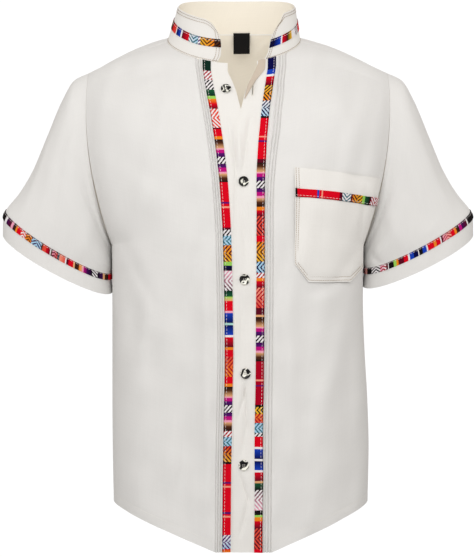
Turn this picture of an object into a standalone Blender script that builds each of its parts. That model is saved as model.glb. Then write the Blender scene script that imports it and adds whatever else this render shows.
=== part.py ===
"""A short-sleeved guayabera shirt with a standing collar and woven trims, in its worn hollow form.

Metres, +Z up. +X is the viewer's right, -Y the front, and zero the centre of the neck's base.
"""

from collections import namedtuple

import bmesh
import bpy
import numpy as np
from mathutils import Matrix

# Cloth thicknesses and the gaps that seams keep
CLOTH = 0.0012
TRIM_CLOTH = 0.0010
COLLAR_CLOTH = 0.0018
SEAM = 0.0003
COLLAR_SEAM = 0.0005
SLEEVE_SEAM = 0.0006
POCKET_LIFT = 0.0013

# The trunk: side seams at SEAM_Y, cross-sections between a circle and a box
SEAM_Y = 0.018
SECTION_POWER = 2.3
SHALLOW = 0.030
MOST_LEFT_OVER = 0.9
Side = namedtuple("Side", "height left right")
SIDES = [
    Side(-0.6825, 0.1870, 0.1950),
    Side(-0.6000, 0.1885, 0.1965),
    Side(-0.5300, 0.1890, 0.1945),
    Side(-0.4500, 0.1890, 0.1900),
    Side(-0.3800, 0.1890, 0.1878),
    Side(-0.3000, 0.1900, 0.1885),
]

# The neckline: an ellipse that rises from the front to the back of the neck
NECK_X = -0.006
NECK_HALF_WIDTH = 0.0995
NECK_HALF_DEPTH = 0.065
NECK_MID_HEIGHT = -0.0055
NECK_RISE = 0.0285
NECK_SIDE_LIFT = 0.012

# The armhole, from the shoulder point to the underarm
SHOULDER_X = 0.224
SHOULDER_Z = -0.040
ARMPIT_Z = -0.300
ARMHOLE_DEPTH = 0.060
ARMHOLE_BOW = 0.0135

# Rows of the front and the back, up from the hem. The last three meet the neckline, from its corner up to the
# shoulder. Columns: height and depth at the middle, height at the side seam, turn round the armhole, the most
# that a row wraps round towards the side, and how far its middle is lifted.
Row = namedtuple("Row", "height depth seam turn wrap lift")
ON_NECKLINE = None
FRONT = [
    Row(-0.7456, -0.112, -0.6825, 180, 1.00, 0.000),
    Row(-0.6000, -0.119, -0.6000, 180, 1.00, 0.000),
    Row(-0.4700, -0.124, -0.4700, 180, 1.00, 0.000),
    Row(-0.3700, -0.128, -0.3700, 180, 1.00, 0.000),
    Row(-0.3000, -0.130, -0.3000, 180, 1.00, 0.000),
    Row(-0.2300, -0.128, -0.3000, 132, 1.00, 0.000),
    Row(-0.1650, -0.120, -0.3000, 98, 1.00, 0.000),
    Row(-0.1050, -0.103, -0.3000, 62, 0.94, 0.000),
    Row(ON_NECKLINE, ON_NECKLINE, -0.3000, 35, 0.88, 0.005),
    Row(ON_NECKLINE, ON_NECKLINE, -0.3000, 17, 0.75, 0.007),
    Row(ON_NECKLINE, ON_NECKLINE, -0.3000, 0, 0.60, 0.000),
]
BACK = [
    Row(-0.7456, 0.136, -0.6825, 180, 1.00, 0.000),
    Row(-0.6000, 0.141, -0.6000, 180, 1.00, 0.000),
    Row(-0.4700, 0.144, -0.4700, 180, 1.00, 0.000),
    Row(-0.3700, 0.149, -0.3700, 180, 1.00, 0.000),
    Row(-0.3000, 0.152, -0.3000, 180, 1.00, 0.000),
    Row(-0.2200, 0.153, -0.3000, 132, 1.00, 0.000),
    Row(-0.1500, 0.147, -0.3000, 98, 1.00, 0.000),
    Row(-0.0850, 0.130, -0.3000, 64, 0.96, 0.000),
    Row(-0.0250, 0.101, -0.3000, 38, 0.92, 0.004),
    Row(ON_NECKLINE, ON_NECKLINE, -0.3000, 24, 0.85, 0.007),
    Row(ON_NECKLINE, ON_NECKLINE, -0.3000, 12, 0.75, 0.008),
    Row(ON_NECKLINE, ON_NECKLINE, -0.3000, 0, 0.60, 0.000),
]
BACK_CORNER_TURN = 145

# The front opening: middle lines of the front trims, and free edges of the two plackets, which part at the V
Opening = namedtuple("Opening", "height left_trim right_trim under_edge over_edge")
OPENING = [
    Opening(-0.7456, -0.0170, 0.0295, 0.0200, -0.0075),
    Opening(-0.6000, -0.0155, 0.0300, 0.0210, -0.0065),
    Opening(-0.4500, -0.0130, 0.0315, 0.0225, -0.0055),
    Opening(-0.3000, -0.0155, 0.0325, 0.0235, -0.0055),
    Opening(-0.2200, -0.0200, 0.0325, 0.0238, -0.0055),
    Opening(-0.1600, -0.0265, 0.0350, 0.0240, -0.0055),
    Opening(-0.1300, -0.0310, 0.0378, 0.0150, -0.0052),
    Opening(-0.1050, -0.0350, 0.0402, 0.0043, 0.0043),
    Opening(-0.0700, -0.0410, 0.0450, -0.0080, 0.0180),
    Opening(-0.0350, -0.0460, 0.0495, -0.0200, 0.0320),
]
TRIM_WIDTH = 0.012
TUCKS = 3
TUCK_HEIGHT = 0.0009
TUCK_CREST = 0.25
TuckPlace = namedtuple("TuckPlace", "first pitch")
TUCK_PLACES = {-1: TuckPlace(0.0088, 0.0026), 1: TuckPlace(0.0110, 0.0032)}

# The largest folds, as soft troughs (below zero) and ridges, each along a line from one point to another
FOLD_FADE = 0.7
Fold = namedtuple("Fold", "face x1 z1 x2 z2 width depth")
FOLDS = [
    Fold("front", 0.166, -0.375, 0.160, -0.690, 0.016, -0.0050),
    Fold("front", 0.128, -0.420, 0.116, -0.740, 0.022, 0.0035),
    Fold("front", -0.172, -0.330, -0.140, -0.450, 0.016, -0.0035),
    Fold("front", -0.120, -0.430, -0.098, -0.730, 0.024, -0.0035),
    Fold("front", -0.155, -0.480, -0.148, -0.710, 0.020, 0.0030),
    Fold("back", -0.150, -0.350, -0.110, -0.700, 0.022, -0.0045),
    Fold("back", -0.060, -0.300, -0.045, -0.740, 0.026, 0.0040),
    Fold("back", 0.050, -0.330, 0.062, -0.740, 0.024, -0.0040),
    Fold("back", 0.140, -0.340, 0.125, -0.700, 0.022, 0.0040),
]

# The sleeves, ring by ring from the armhole to the hem: the outer end in the front view, the height of the inner
# end beside the trunk and its clearance there, half the depth, how far the middle bows outward and how far the
# front hangs lower
Ring = namedtuple("Ring", "top_x top_z bottom_z clear depth bow drop")
SLEEVE = [
    Ring(SHOULDER_X, SHOULDER_Z, ARMPIT_Z, 0.0000, ARMHOLE_DEPTH, ARMHOLE_BOW, 0.000),
    Ring(0.2460, -0.0510, -0.3060, 0.0006, 0.0640, 0.0160, 0.001),
    Ring(0.2640, -0.0810, -0.3140, 0.0006, 0.0670, 0.0140, 0.002),
    Ring(0.2870, -0.1360, -0.3240, 0.0006, 0.0675, 0.0100, 0.004),
    Ring(0.3090, -0.1880, -0.3330, 0.0008, 0.0650, 0.0060, 0.007),
    Ring(0.3290, -0.2210, -0.3385, 0.0012, 0.0620, 0.0030, 0.010),
    Ring(0.3480, -0.2445, -0.3440, 0.0017, 0.0590, 0.0000, 0.013),
    Ring(0.3530, -0.2560, -0.3550, 0.0017, 0.0580, 0.0000, 0.014),
    Ring(0.3535, -0.2820, -0.3750, 0.0006, 0.0570, 0.0000, 0.015),
]
SLEEVE_TRIM_RINGS = (6, 7)
SLEEVE_COLUMNS = 28

# The standing collar, open in front with rounded ends; turns are degrees from the front of the neck
COLLAR_HEIGHT = 0.050
COLLAR_FRONT_EXTRA = 0.010
COLLAR_TOP_X = -0.002
COLLAR_TOP_HALF_WIDTH = 0.0878
COLLAR_TOP_HALF_DEPTH = 0.060
COLLAR_LEFT_TURN = 16
COLLAR_RIGHT_TURN = 27
COLLAR_END_RADIUS = 0.026
COLLAR_END_SPREAD = 0.090
COLLAR_COLUMNS = 34
COLLAR_CROWDING = 0.4
COLLAR_TRIM_HEIGHTS = (0.0195, 0.0312)

# The patch pocket on the viewer's right, with its corners cut across
POCKET_LEFT = 0.0812
POCKET_SIDE_MARGIN = 0.007
POCKET_TOP = (-0.1900, -0.2030)
POCKET_BOTTOM = -0.3550
POCKET_CUT_SHARE = (0.20, 0.80)
POCKET_CUT_HEIGHT = (0.026, 0.021)
POCKET_TRIM_MIDDLE = (-0.2265, -0.2360)

# Buttons, each at a place across and up the plackets; the first is undone
BUTTON_RADIUS = 0.0075
BUTTON_THICKNESS = 0.0026
BUTTON_FOOT_RADIUS = 0.0062
BUTTON_RIM = 0.0014
BUTTON_DISH = 0.0007
BUTTON_LIFT = 0.0001
BUTTON_HOLE_RADIUS = 0.0009
BUTTON_HOLE_SPREAD = 0.0016
Button = namedtuple("Button", "name x height over")
BUTTONS = [
    Button("button_1", -0.0176, -0.0767, False),
    Button("button_2", 0.0082, -0.2108, True),
    Button("button_3", 0.0097, -0.3513, True),
    Button("button_4", 0.0109, -0.4867, True),
    Button("button_5", 0.0082, -0.6191, True),
]

# The neck label, bare and hung from the back neck seam
LABEL_X = 0.0055
LABEL_WIDTH = 0.025
LABEL_TOP = 0.0255
LABEL_BOTTOM = -0.0065
LABEL_STANDOFF = 0.0029

TINY = 1e-12

# Colours of the materials
CREAM = (0.80, 0.78, 0.73)
TRIM_RED = (0.55, 0.04, 0.05)
SHELL = (0.20, 0.19, 0.18)
BLACK = (0.01, 0.01, 0.01)


def smooth(keys, values, at):
    """A smooth curve through the values that never overshoots them."""
    keys = np.asarray(keys, float)
    values = np.asarray(values, float)
    at = np.clip(np.asarray(at, float), keys[0], keys[-1])
    step = np.diff(keys)
    rise = np.diff(values) / step
    before, after = rise[:-1], rise[1:]
    same_way = before * after > 0
    total = np.where(same_way, before + after, 1.0)
    middle = np.where(same_way, 2 * before * after / total, 0.0)
    slope = np.concatenate([rise[:1], middle, rise[-1:]])
    i = np.clip(np.searchsorted(keys, at, side="right") - 1, 0, len(step) - 1)
    t = (at - keys[i]) / step[i]
    ease = t * t * (3 - 2 * t)
    start = t * (1 - t) ** 2 * step[i] * slope[i]
    end = t * t * (1 - t) * step[i] * slope[i + 1]
    return values[i] * (1 - ease) + values[i + 1] * ease + start - end


def column(table, name):
    return [getattr(row, name) for row in table]


def read(table, name, height):
    """A column of a table whose rows are placed by height."""
    return smooth(column(table, "height"), column(table, name), height)


def side_x(side, height):
    """The trunk's half-width on one side (-1 the viewer's left, 1 the right)."""
    return read(SIDES, "left" if side < 0 else "right", height)


def trim_x(side, height):
    return read(OPENING, "left_trim" if side < 0 else "right_trim", height)


def strip_width(side):
    """From the middle of the front trim to just past the last pintuck."""
    place = TUCK_PLACES[side]
    return place.first + place.pitch * (TUCKS - 0.5)


def neckline(turn):
    """A point of the neck seam, by its turn from the front towards the viewer's right."""
    angle = np.radians(turn)
    x = NECK_X + NECK_HALF_WIDTH * np.sin(angle)
    y = -NECK_HALF_DEPTH * np.cos(angle)
    z = NECK_MID_HEIGHT - NECK_RISE * np.cos(angle) + NECK_SIDE_LIFT * np.sin(angle) ** 2
    return np.stack([x, y, z], axis=-1)


def neck_turn(x):
    """The front half's turn at which the neck seam has this x."""
    return np.degrees(np.arcsin(np.clip((x - NECK_X) / NECK_HALF_WIDTH, -1, 1)))


def armhole(side, turn):
    """A point of the armhole seam: turn 0 at the shoulder, 90 in front, 180 under the arm, 270 behind."""
    angle = np.radians(turn)
    under = side_x(side, ARMPIT_Z)
    x = (SHOULDER_X + under) / 2 + (SHOULDER_X - under) / 2 * np.cos(angle) + ARMHOLE_BOW * np.sin(angle) ** 2
    y = SEAM_Y - ARMHOLE_DEPTH * np.sin(angle)
    z = (SHOULDER_Z + ARMPIT_Z) / 2 + (SHOULDER_Z - ARMPIT_Z) / 2 * np.cos(angle)
    return np.stack([side * x, y, z], axis=-1)


def corner_turn(face, side):
    """Where the neckline leaves the face's top row, in degrees from the front of the neck."""
    if face == "back":
        return side * BACK_CORNER_TURN
    top = OPENING[-1].height
    return float(neck_turn(trim_x(side, top) + side * strip_width(side)))


def inner_line(face, side, row):
    """Where a face's rows start: at the pintucks or the spine, and from the corner on along the neckline."""
    table = FRONT if face == "front" else BACK
    corner_row = len(table) - 3
    corner = corner_turn(face, side)
    at_corner = neckline(corner)
    heights = column(table[:corner_row], "height") + [at_corner[2]]
    depths = column(table[:corner_row], "depth") + [at_corner[1]]
    low = np.minimum(row, corner_row)
    z = smooth(range(corner_row + 1), heights, low)
    y = smooth(range(corner_row + 1), depths, low)
    if face == "front":
        x = trim_x(side, z) + side * strip_width(side)
    else:
        x = at_corner[0] * np.clip(low - corner_row + 1, 0, 1)
    turn = corner + (side * 90 - corner) * np.clip(row - corner_row, 0, 2) / 2
    on_neck = (row > corner_row)[..., None]
    return np.where(on_neck, neckline(turn), np.stack([x, y, z], axis=-1))


def outer_line(face, side, row):
    """Where a face's rows end, at the side seam and then round the armhole."""
    table = FRONT if face == "front" else BACK
    rows = range(len(table))
    seam = smooth(rows, column(table, "seam"), row)
    turn = smooth(rows, column(table, "turn"), row)
    front_turn = turn if face == "front" else 360 - turn
    hole = armhole(side, front_turn)
    trunk_side = np.stack([side * side_x(side, seam), np.full_like(seam, SEAM_Y), seam], axis=-1)
    point = np.where((turn < 180)[..., None], hole, trunk_side)
    point[..., 1] += SEAM / 2 * (-1 if face == "front" else 1)
    return point


def fold_relief(face, x, z):
    """How far the largest folds push the cloth out or in."""
    relief = np.zeros_like(x)
    for fold in FOLDS:
        if fold.face != face:
            continue
        run = np.array([fold.x2 - fold.x1, fold.z2 - fold.z1])
        length = np.hypot(*run)
        along = ((x - fold.x1) * run[0] + (z - fold.z1) * run[1]) / length**2
        aside = ((x - fold.x1) * run[1] - (z - fold.z1) * run[0]) / length
        fade = np.sin(np.pi * np.clip(along, 0, 1)) ** FOLD_FADE
        relief += fold.depth * fade * np.exp(-((aside / fold.width) ** 2))
    return relief


def trunk(face, side, x, row):
    """Points of the trunk's cloth, by x across and by row up from the hem."""
    x = np.asarray(x, float)
    row = np.asarray(row, float)
    table = FRONT if face == "front" else BACK
    corner_row = len(table) - 3
    rows = range(len(table))
    start = inner_line(face, side, row)
    end = outer_line(face, side, row)
    # a row is as much of a whole section, which would reach SEAM_Y, as its outer end needs
    depth = SEAM_Y - start[..., 1]
    reached = (end[..., 1] - start[..., 1]) / np.where(depth == 0, 1, depth)
    left_over = np.where(np.abs(depth) > SHALLOW, np.clip(1 - reached, 0, MOST_LEFT_OVER), 0)
    whole = (1 - left_over**SECTION_POWER) ** (1 / SECTION_POWER)
    wrap = np.minimum(whole, smooth(rows, column(table, "wrap"), row))
    lift = smooth(rows, column(table, "lift"), row)
    share = np.clip((x - start[..., 0]) / (end[..., 0] - start[..., 0]), 0, 1)
    turned = 1 - (1 - (wrap * share) ** SECTION_POWER) ** (1 / SECTION_POWER)
    fully = 1 - (1 - wrap**SECTION_POWER) ** (1 / SECTION_POWER)
    y = start[..., 1] + (end[..., 1] - start[..., 1]) * turned / fully
    z = start[..., 2] + (end[..., 2] - start[..., 2]) * share + lift * 4 * share * (1 - share)
    # inside the corner the top of the panel bends to follow the neckline
    bend = np.clip(row - corner_row + 1, 0, 1) ** 2 * (row <= corner_row) * (share <= 0)
    corner = neckline(corner_turn(face, side))
    seam = neckline(neck_turn(x) if face == "front" else 180 - neck_turn(x))
    y = y + bend * (seam[..., 1] - corner[1])
    z = z + bend * (seam[..., 2] - corner[2])
    y = y + fold_relief(face, x, z) * (-1 if face == "front" else 1)
    return np.stack([x, y, z], axis=-1)


def front_at(x, height, side=1):
    """Points of the front at given places, found along its rows."""
    rows = np.linspace(0, len(FRONT) - 3, 300)
    points = []
    for place, level in zip(np.ravel(x), np.ravel(height)):
        line = trunk("front", side, np.full_like(rows, place), rows)
        points.append([place, np.interp(level, line[:, 2], line[:, 1]), level])
    return np.array(points).reshape(np.shape(x) + (3,))


def normals(grid, facing, closed=False):
    """Unit normals of a grid of points; facing is 1 where rows up and columns to the right look outward."""
    if closed:
        across = np.roll(grid, -1, axis=1) - np.roll(grid, 1, axis=1)
    else:
        across = np.gradient(grid, axis=1)
    up = np.gradient(grid, axis=0)
    normal = np.cross(across, up) * facing
    return normal / np.maximum(np.linalg.norm(normal, axis=-1, keepdims=True), TINY)


def levelled(normal, rows=(), columns=(), axis=1):
    """The normals with one axis taken out along some edges, so that two walls meet squarely there."""
    normal = normal.copy()
    for row in rows:
        normal[row, :, axis] = 0
    for place in columns:
        normal[:, place, axis] = 0
    return normal / np.maximum(np.linalg.norm(normal, axis=-1, keepdims=True), TINY)


def material(name, colour, roughness):
    made = bpy.data.materials.get(name)
    if made is None:
        made = bpy.data.materials.new(name)
        made.use_nodes = True
        shader = made.node_tree.nodes["Principled BSDF"]
        shader.inputs["Base Color"].default_value = (*colour, 1)
        shader.inputs["Roughness"].default_value = roughness
    return made


def finish(name, mesh_data, finish_material):
    """An object of the scene from a filled bmesh, its faces turned outward."""
    bmesh.ops.recalc_face_normals(mesh_data, faces=mesh_data.faces)
    mesh = bpy.data.meshes.new(name)
    mesh_data.to_mesh(mesh)
    mesh_data.free()
    mesh.shade_smooth()
    mesh.set_sharp_from_angle(angle=np.radians(40))
    mesh.materials.append(finish_material)
    made = bpy.data.objects.new(name, mesh)
    bpy.context.collection.objects.link(made)
    return made


def wall(name, outer, inner, finish_material, cells=None, closed=False):
    """A closed wall between two grids of points; cells says which squares of the grid have cloth."""
    rows, columns = outer.shape[:2]
    spans = columns if closed else columns - 1
    if cells is None:
        cells = np.ones((rows - 1, spans), bool)
    mesh_data = bmesh.new()
    used = {}

    def vertex(grid, row, place):
        key = (grid, row, place % columns)
        if key not in used:
            used[key] = mesh_data.verts.new((outer if grid == 0 else inner)[row, place % columns])
        return used[key]

    def has_cloth(row, place):
        if closed:
            place = place % spans
        return 0 <= row < rows - 1 and 0 <= place < spans and cells[row, place]

    for row in range(rows - 1):
        for place in range(spans):
            if not has_cloth(row, place):
                continue
            corners = [(row, place), (row, place + 1), (row + 1, place + 1), (row + 1, place)]
            mesh_data.faces.new([vertex(0, *corner) for corner in corners])
            mesh_data.faces.new([vertex(1, *corner) for corner in reversed(corners)])
            neighbours = [(row - 1, place), (row, place + 1), (row + 1, place), (row, place - 1)]
            for k, neighbour in enumerate(neighbours):
                if has_cloth(*neighbour):
                    continue
                a, b = corners[k], corners[(k + 1) % 4]
                mesh_data.faces.new([vertex(0, *b), vertex(0, *a), vertex(1, *a), vertex(1, *b)])
    return finish(name, mesh_data, finish_material)


def layer(name, grid, outward, lift, thickness, finish_material, closed=False):
    """Cloth that lies on another piece: its points moved out by the lift."""
    outer = grid + outward * (lift + thickness)
    inner = grid + outward * lift
    return wall(name, outer, inner, finish_material, closed=closed)


def tuck_relief(side, offset):
    """The height of the pintucks at a distance from the middle of the trim."""
    place = TUCK_PLACES[side]
    phase = (offset - place.first) / place.pitch
    crest = np.abs(phase - np.round(phase)) < TUCK_CREST
    return TUCK_HEIGHT * (crest & (np.round(phase) >= 0) & (np.round(phase) < TUCKS))


SEAM_STEPS = [0, 0.5, 1, 1.5, 2, 2.5, 3, 3.5, 4]
FRONT_STEPS = SEAM_STEPS + [4.25, 4.5, 4.75, 5, 5.33, 5.67, 6, 6.33, 6.67, 7, 7.33, 7.67, 8]
SHOULDER_STEPS = [8.5, 9, 9.5, 10]
SIDE_ANGLES = (8, 17, 27, 37, 47, 57, 67, 76, 84, 90)


def front(side, finish_material):
    """One front, from its inner edge under the trim to the side seam and the armhole, with three pintucks."""
    place = TUCK_PLACES[side]
    edge = SEAM / 2 if side < 0 else -TRIM_WIDTH / 2
    tucks = [place.first + place.pitch * (k / 2 - 0.5) for k in range(2 * TUCKS + 1)]
    offsets = np.array([edge] + tucks[:-1] + [strip_width(side)])
    shares = np.sin(np.radians(SIDE_ANGLES)) ** (2 / SECTION_POWER)
    rows = np.array(FRONT_STEPS + SHOULDER_STEPS, float)
    start = inner_line("front", side, rows)[:, 0]
    end = outer_line("front", side, rows)[:, 0]
    strip = start[:, None] + side * (offsets - strip_width(side))[None, :]
    main = start[:, None] + (end - start)[:, None] * shares[None, :]
    x = np.concatenate([strip, main], axis=1)
    grid = trunk("front", side, x, np.repeat(rows[:, None], x.shape[1], axis=1))
    above = rows > 8
    grid[above, : len(offsets)] = grid[above, len(offsets) - 1][:, None]
    grid[-1, :, 1] -= SEAM / 2
    normal = normals(grid, side)
    corner = int(np.flatnonzero(rows == 8)[0])
    normal[corner, : len(offsets)] = normals(grid[: corner + 1], side)[corner, : len(offsets)]
    normal[above, len(offsets) - 1] = normals(grid[:, len(offsets) - 1 :], side)[above, 0]
    normal[above, : len(offsets) - 1] = normal[above, len(offsets) - 1][:, None]
    normal = levelled(normal, rows=[-1], columns=[-1])
    cells = np.ones((len(rows) - 1, x.shape[1] - 1), bool)
    cells[corner:, : len(offsets) - 1] = False
    relief = np.zeros(x.shape)
    relief[:, : len(offsets)] = tuck_relief(side, offsets)[None, :]
    inner = grid - normal * CLOTH
    outer = grid + normal * relief[..., None]
    name = "front_right" if side < 0 else "front_left"
    return wall(name, outer, inner, finish_material, cells=cells)


BACK_STEPS = SEAM_STEPS + [4.4, 4.7, 5, 5.5, 6, 6.5, 7, 7.5, 8, 8.5, 9]
BACK_SHOULDER_STEPS = [9.5, 10, 10.5, 11]
BACK_MIDDLE_SHARES = (0, 0.34, 0.67, 1)


def back(finish_material):
    """The back in one piece, from side seam to side seam, up to the neckline and both shoulder seams."""
    shares = np.sin(np.radians(SIDE_ANGLES)) ** (2 / SECTION_POWER)
    rows = np.array(BACK_STEPS + BACK_SHOULDER_STEPS, float)
    halves = []
    for side in (-1, 1):
        corner_x = neckline(corner_turn("back", side))[0]
        start = inner_line("back", side, rows)[:, 0]
        end = outer_line("back", side, rows)[:, 0]
        middle = np.tile(corner_x * np.array(BACK_MIDDLE_SHARES), (len(rows), 1))
        middle[rows > 9] = np.where(np.array(BACK_MIDDLE_SHARES) < 1, 0, start[rows > 9][:, None])
        begin = middle[:, -1:]
        main = begin + (end[:, None] - begin) * shares[None, :]
        x = np.concatenate([middle, main], axis=1)
        halves.append(trunk("back", side, x, np.repeat(rows[:, None], x.shape[1], axis=1)))
    joined = np.concatenate([halves[0][:, :0:-1], halves[1]], axis=1)
    joined[-1, :, 1] += SEAM / 2
    normal = normals(joined, -1)
    last = len(BACK_MIDDLE_SHARES) - 1
    centre = halves[0].shape[1] - 1
    left, right = centre - last, centre + last
    corner = int(np.flatnonzero(rows == 9)[0])
    above = rows > 9
    normal[corner, left : right + 1] = normals(joined[: corner + 1], -1)[corner, left : right + 1]
    normal[above, left] = normals(joined[:, : left + 1], -1)[above, -1]
    normal[above, right] = normals(joined[:, right:], -1)[above, 0]
    normal = levelled(normal, rows=[-1], columns=[0, -1])
    cells = np.ones((len(rows) - 1, joined.shape[1] - 1), bool)
    cells[corner:, left:right] = False
    return wall("back", joined, joined - normal * CLOTH, finish_material, cells=cells)


def band(name, side, edges, across, lift, thickness, finish_material):
    """A strip of cloth down the front opening, between two edges that are functions of the height."""
    rows = np.array(FRONT_STEPS, float)
    height = inner_line("front", side, rows)[:, 2]
    low, high = (edge(height) for edge in edges)
    share = np.linspace(0, 1, across)
    x = low[:, None] + (high - low)[:, None] * share[None, :]
    grid = trunk("front", side, x, np.repeat(rows[:, None], across, axis=1))
    return layer(name, grid, normals(grid, 1), lift, thickness, finish_material)


def plackets_and_front_trims(cloth, woven):
    """The button placket, the buttonhole placket over it, and a trim over each outer seam."""
    half = TRIM_WIDTH / 2
    under = (lambda z: trim_x(-1, z) + SEAM / 2, lambda z: read(OPENING, "under_edge", z))
    over = (lambda z: read(OPENING, "over_edge", z), lambda z: trim_x(1, z) + half)
    band("placket_button", -1, under, 5, -CLOTH, CLOTH, cloth)
    band("placket_buttonhole", 1, over, 5, SEAM, CLOTH, cloth)
    left = (lambda z: trim_x(-1, z) - half, lambda z: trim_x(-1, z) + half)
    right = (lambda z: trim_x(1, z) - half, lambda z: trim_x(1, z) + half)
    band("trim_front_right", -1, left, 3, SEAM, TRIM_CLOTH, woven)
    band("trim_front_left", 1, right, 3, CLOTH + 2 * SEAM, TRIM_CLOTH, woven)


def sleeve_surface(side, ring, turn):
    """Points of the sleeve, by ring from the armhole and by turn (0 outer, 90 front, 180 beside the trunk)."""
    rings = range(len(SLEEVE))
    values = {name: smooth(rings, column(SLEEVE, name), ring) for name in Ring._fields}
    top_x, top_z, bottom_z = values["top_x"], values["top_z"], values["bottom_z"]
    bottom_x = side_x(side, bottom_z) + values["clear"]
    angle = np.radians(turn)
    reach = (top_x + bottom_x) / 2 + (top_x - bottom_x) / 2 * np.cos(angle)
    length = np.hypot(top_x - bottom_x, top_z - bottom_z)
    down = (top_z - bottom_z) / length, (top_x - bottom_x) / length
    front_drop = values["drop"] * np.sin(angle)
    x = reach + values["bow"] * np.sin(angle) ** 2 + front_drop * down[0] + SLEEVE_SEAM
    y = SEAM_Y - values["depth"] * np.sin(angle)
    z = (top_z + bottom_z) / 2 + (top_z - bottom_z) / 2 * np.cos(angle) - front_drop * down[1]
    return np.stack([side * x, y, z], axis=-1)


SLEEVE_STEPS = [0, 0.4, 1, 1.5, 2, 2.6, 3.3, 4, 4.6, 5.3, 6, 7, 8]


def sleeve(side, finish_material, woven):
    """A short sleeve, open at the armhole and the hem, and the trim round it."""
    turns = np.arange(SLEEVE_COLUMNS) * 360 / SLEEVE_COLUMNS
    rings, around = np.meshgrid(SLEEVE_STEPS, turns, indexing="ij")
    grid = sleeve_surface(side, rings, around)
    outward = normals(grid, side, closed=True)
    outward[0, :, 0] = 0
    outward /= np.linalg.norm(outward, axis=-1, keepdims=True)
    name = "right" if side < 0 else "left"
    wall(f"sleeve_{name}", grid, grid - outward * CLOTH, finish_material, closed=True)
    rings, around = np.meshgrid(SLEEVE_TRIM_RINGS, turns, indexing="ij")
    grid = sleeve_surface(side, rings, around)
    outward = normals(grid, side, closed=True)
    layer(f"trim_sleeve_{name}", grid, outward, SEAM, TRIM_CLOTH, woven, closed=True)


def collar_surface(turn, rise):
    """Points of the collar, by turn from the front towards the viewer's left and by height above the seam."""
    angle = np.radians(turn)
    base = neckline(-turn)
    base[..., 2] += COLLAR_SEAM
    full = COLLAR_HEIGHT + COLLAR_FRONT_EXTRA * np.maximum(np.cos(angle), 0)
    top_x = COLLAR_TOP_X - COLLAR_TOP_HALF_WIDTH * np.sin(angle)
    top_y = -COLLAR_TOP_HALF_DEPTH * np.cos(angle)
    share = (rise / full)[..., None]
    top = np.stack([top_x, top_y, base[..., 2] + full], axis=-1)
    return base * (1 - share) + top * share


def collar_height(turn):
    """The collar's height, rounded down at its two ends."""
    full = COLLAR_HEIGHT + COLLAR_FRONT_EXTRA * np.maximum(np.cos(np.radians(turn)), 0)
    from_end = np.minimum(turn - COLLAR_LEFT_TURN, 360 - COLLAR_RIGHT_TURN - turn)
    distance = np.radians(from_end) * COLLAR_END_SPREAD
    inside = np.clip(COLLAR_END_RADIUS - distance, 0, COLLAR_END_RADIUS)
    return full - COLLAR_END_RADIUS + np.sqrt(COLLAR_END_RADIUS**2 - inside**2)


def collar(finish_material, woven):
    """The standing collar and the trim along its outside."""
    share = np.linspace(0, 1, COLLAR_COLUMNS)
    ease = share - COLLAR_CROWDING * np.sin(2 * np.pi * share) / (2 * np.pi)
    turns = COLLAR_LEFT_TURN + (360 - COLLAR_LEFT_TURN - COLLAR_RIGHT_TURN) * ease
    trim_rows = np.outer(COLLAR_TRIM_HEIGHTS, np.ones_like(turns))
    heights = np.stack([np.zeros_like(turns), *trim_rows, collar_height(turns)])
    grid = collar_surface(np.tile(turns, (len(heights), 1)), heights)
    outward = normals(grid, -1)
    square = levelled(outward, rows=[0, -1], axis=2)
    wall("collar", grid, grid - square * COLLAR_CLOTH, finish_material)
    layer("trim_collar", grid[1:3], outward[1:3], SEAM, TRIM_CLOTH, woven)


def pocket(cloth, woven):
    """The patch pocket and the trim across its header."""
    share = np.array([0, 0.1, POCKET_CUT_SHARE[0], 0.32, 0.44, 0.56, 0.68, POCKET_CUT_SHARE[1], 0.87, 0.94, 1])
    top = POCKET_TOP[0] + (POCKET_TOP[1] - POCKET_TOP[0]) * share
    cut = np.interp(share, [0, *POCKET_CUT_SHARE, 1], [POCKET_CUT_HEIGHT[0], 0, 0, POCKET_CUT_HEIGHT[1]])
    bottom = POCKET_BOTTOM + cut
    down = np.linspace(0, 1, 11)
    height = top[None, :] + (bottom - top)[None, :] * down[::-1, None]
    grid = pocket_grid(share, height)
    layer("pocket", grid, normals(grid, 1), POCKET_LIFT, CLOTH, cloth)
    middle = POCKET_TRIM_MIDDLE[0] + (POCKET_TRIM_MIDDLE[1] - POCKET_TRIM_MIDDLE[0]) * share
    height = np.stack([middle - TRIM_WIDTH / 2, middle, middle + TRIM_WIDTH / 2])
    grid = pocket_grid(share, height)
    layer("trim_pocket", grid, normals(grid, 1), POCKET_LIFT + CLOTH + 2 * SEAM, TRIM_CLOTH, woven)


def pocket_grid(share, height):
    """Points of the front under the pocket, from its left edge to just short of the armhole and side seam."""
    up_armhole = (height - ARMPIT_Z) / (SHOULDER_Z - ARMPIT_Z) * 2 - 1
    turn = np.degrees(np.arccos(np.clip(up_armhole, -1, 1)))
    edge = np.where(height > ARMPIT_Z, armhole(1, turn)[..., 0], side_x(1, height)) - POCKET_SIDE_MARGIN
    x = POCKET_LEFT + (edge - POCKET_LEFT) * share[None, :]
    return front_at(x, height)


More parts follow.
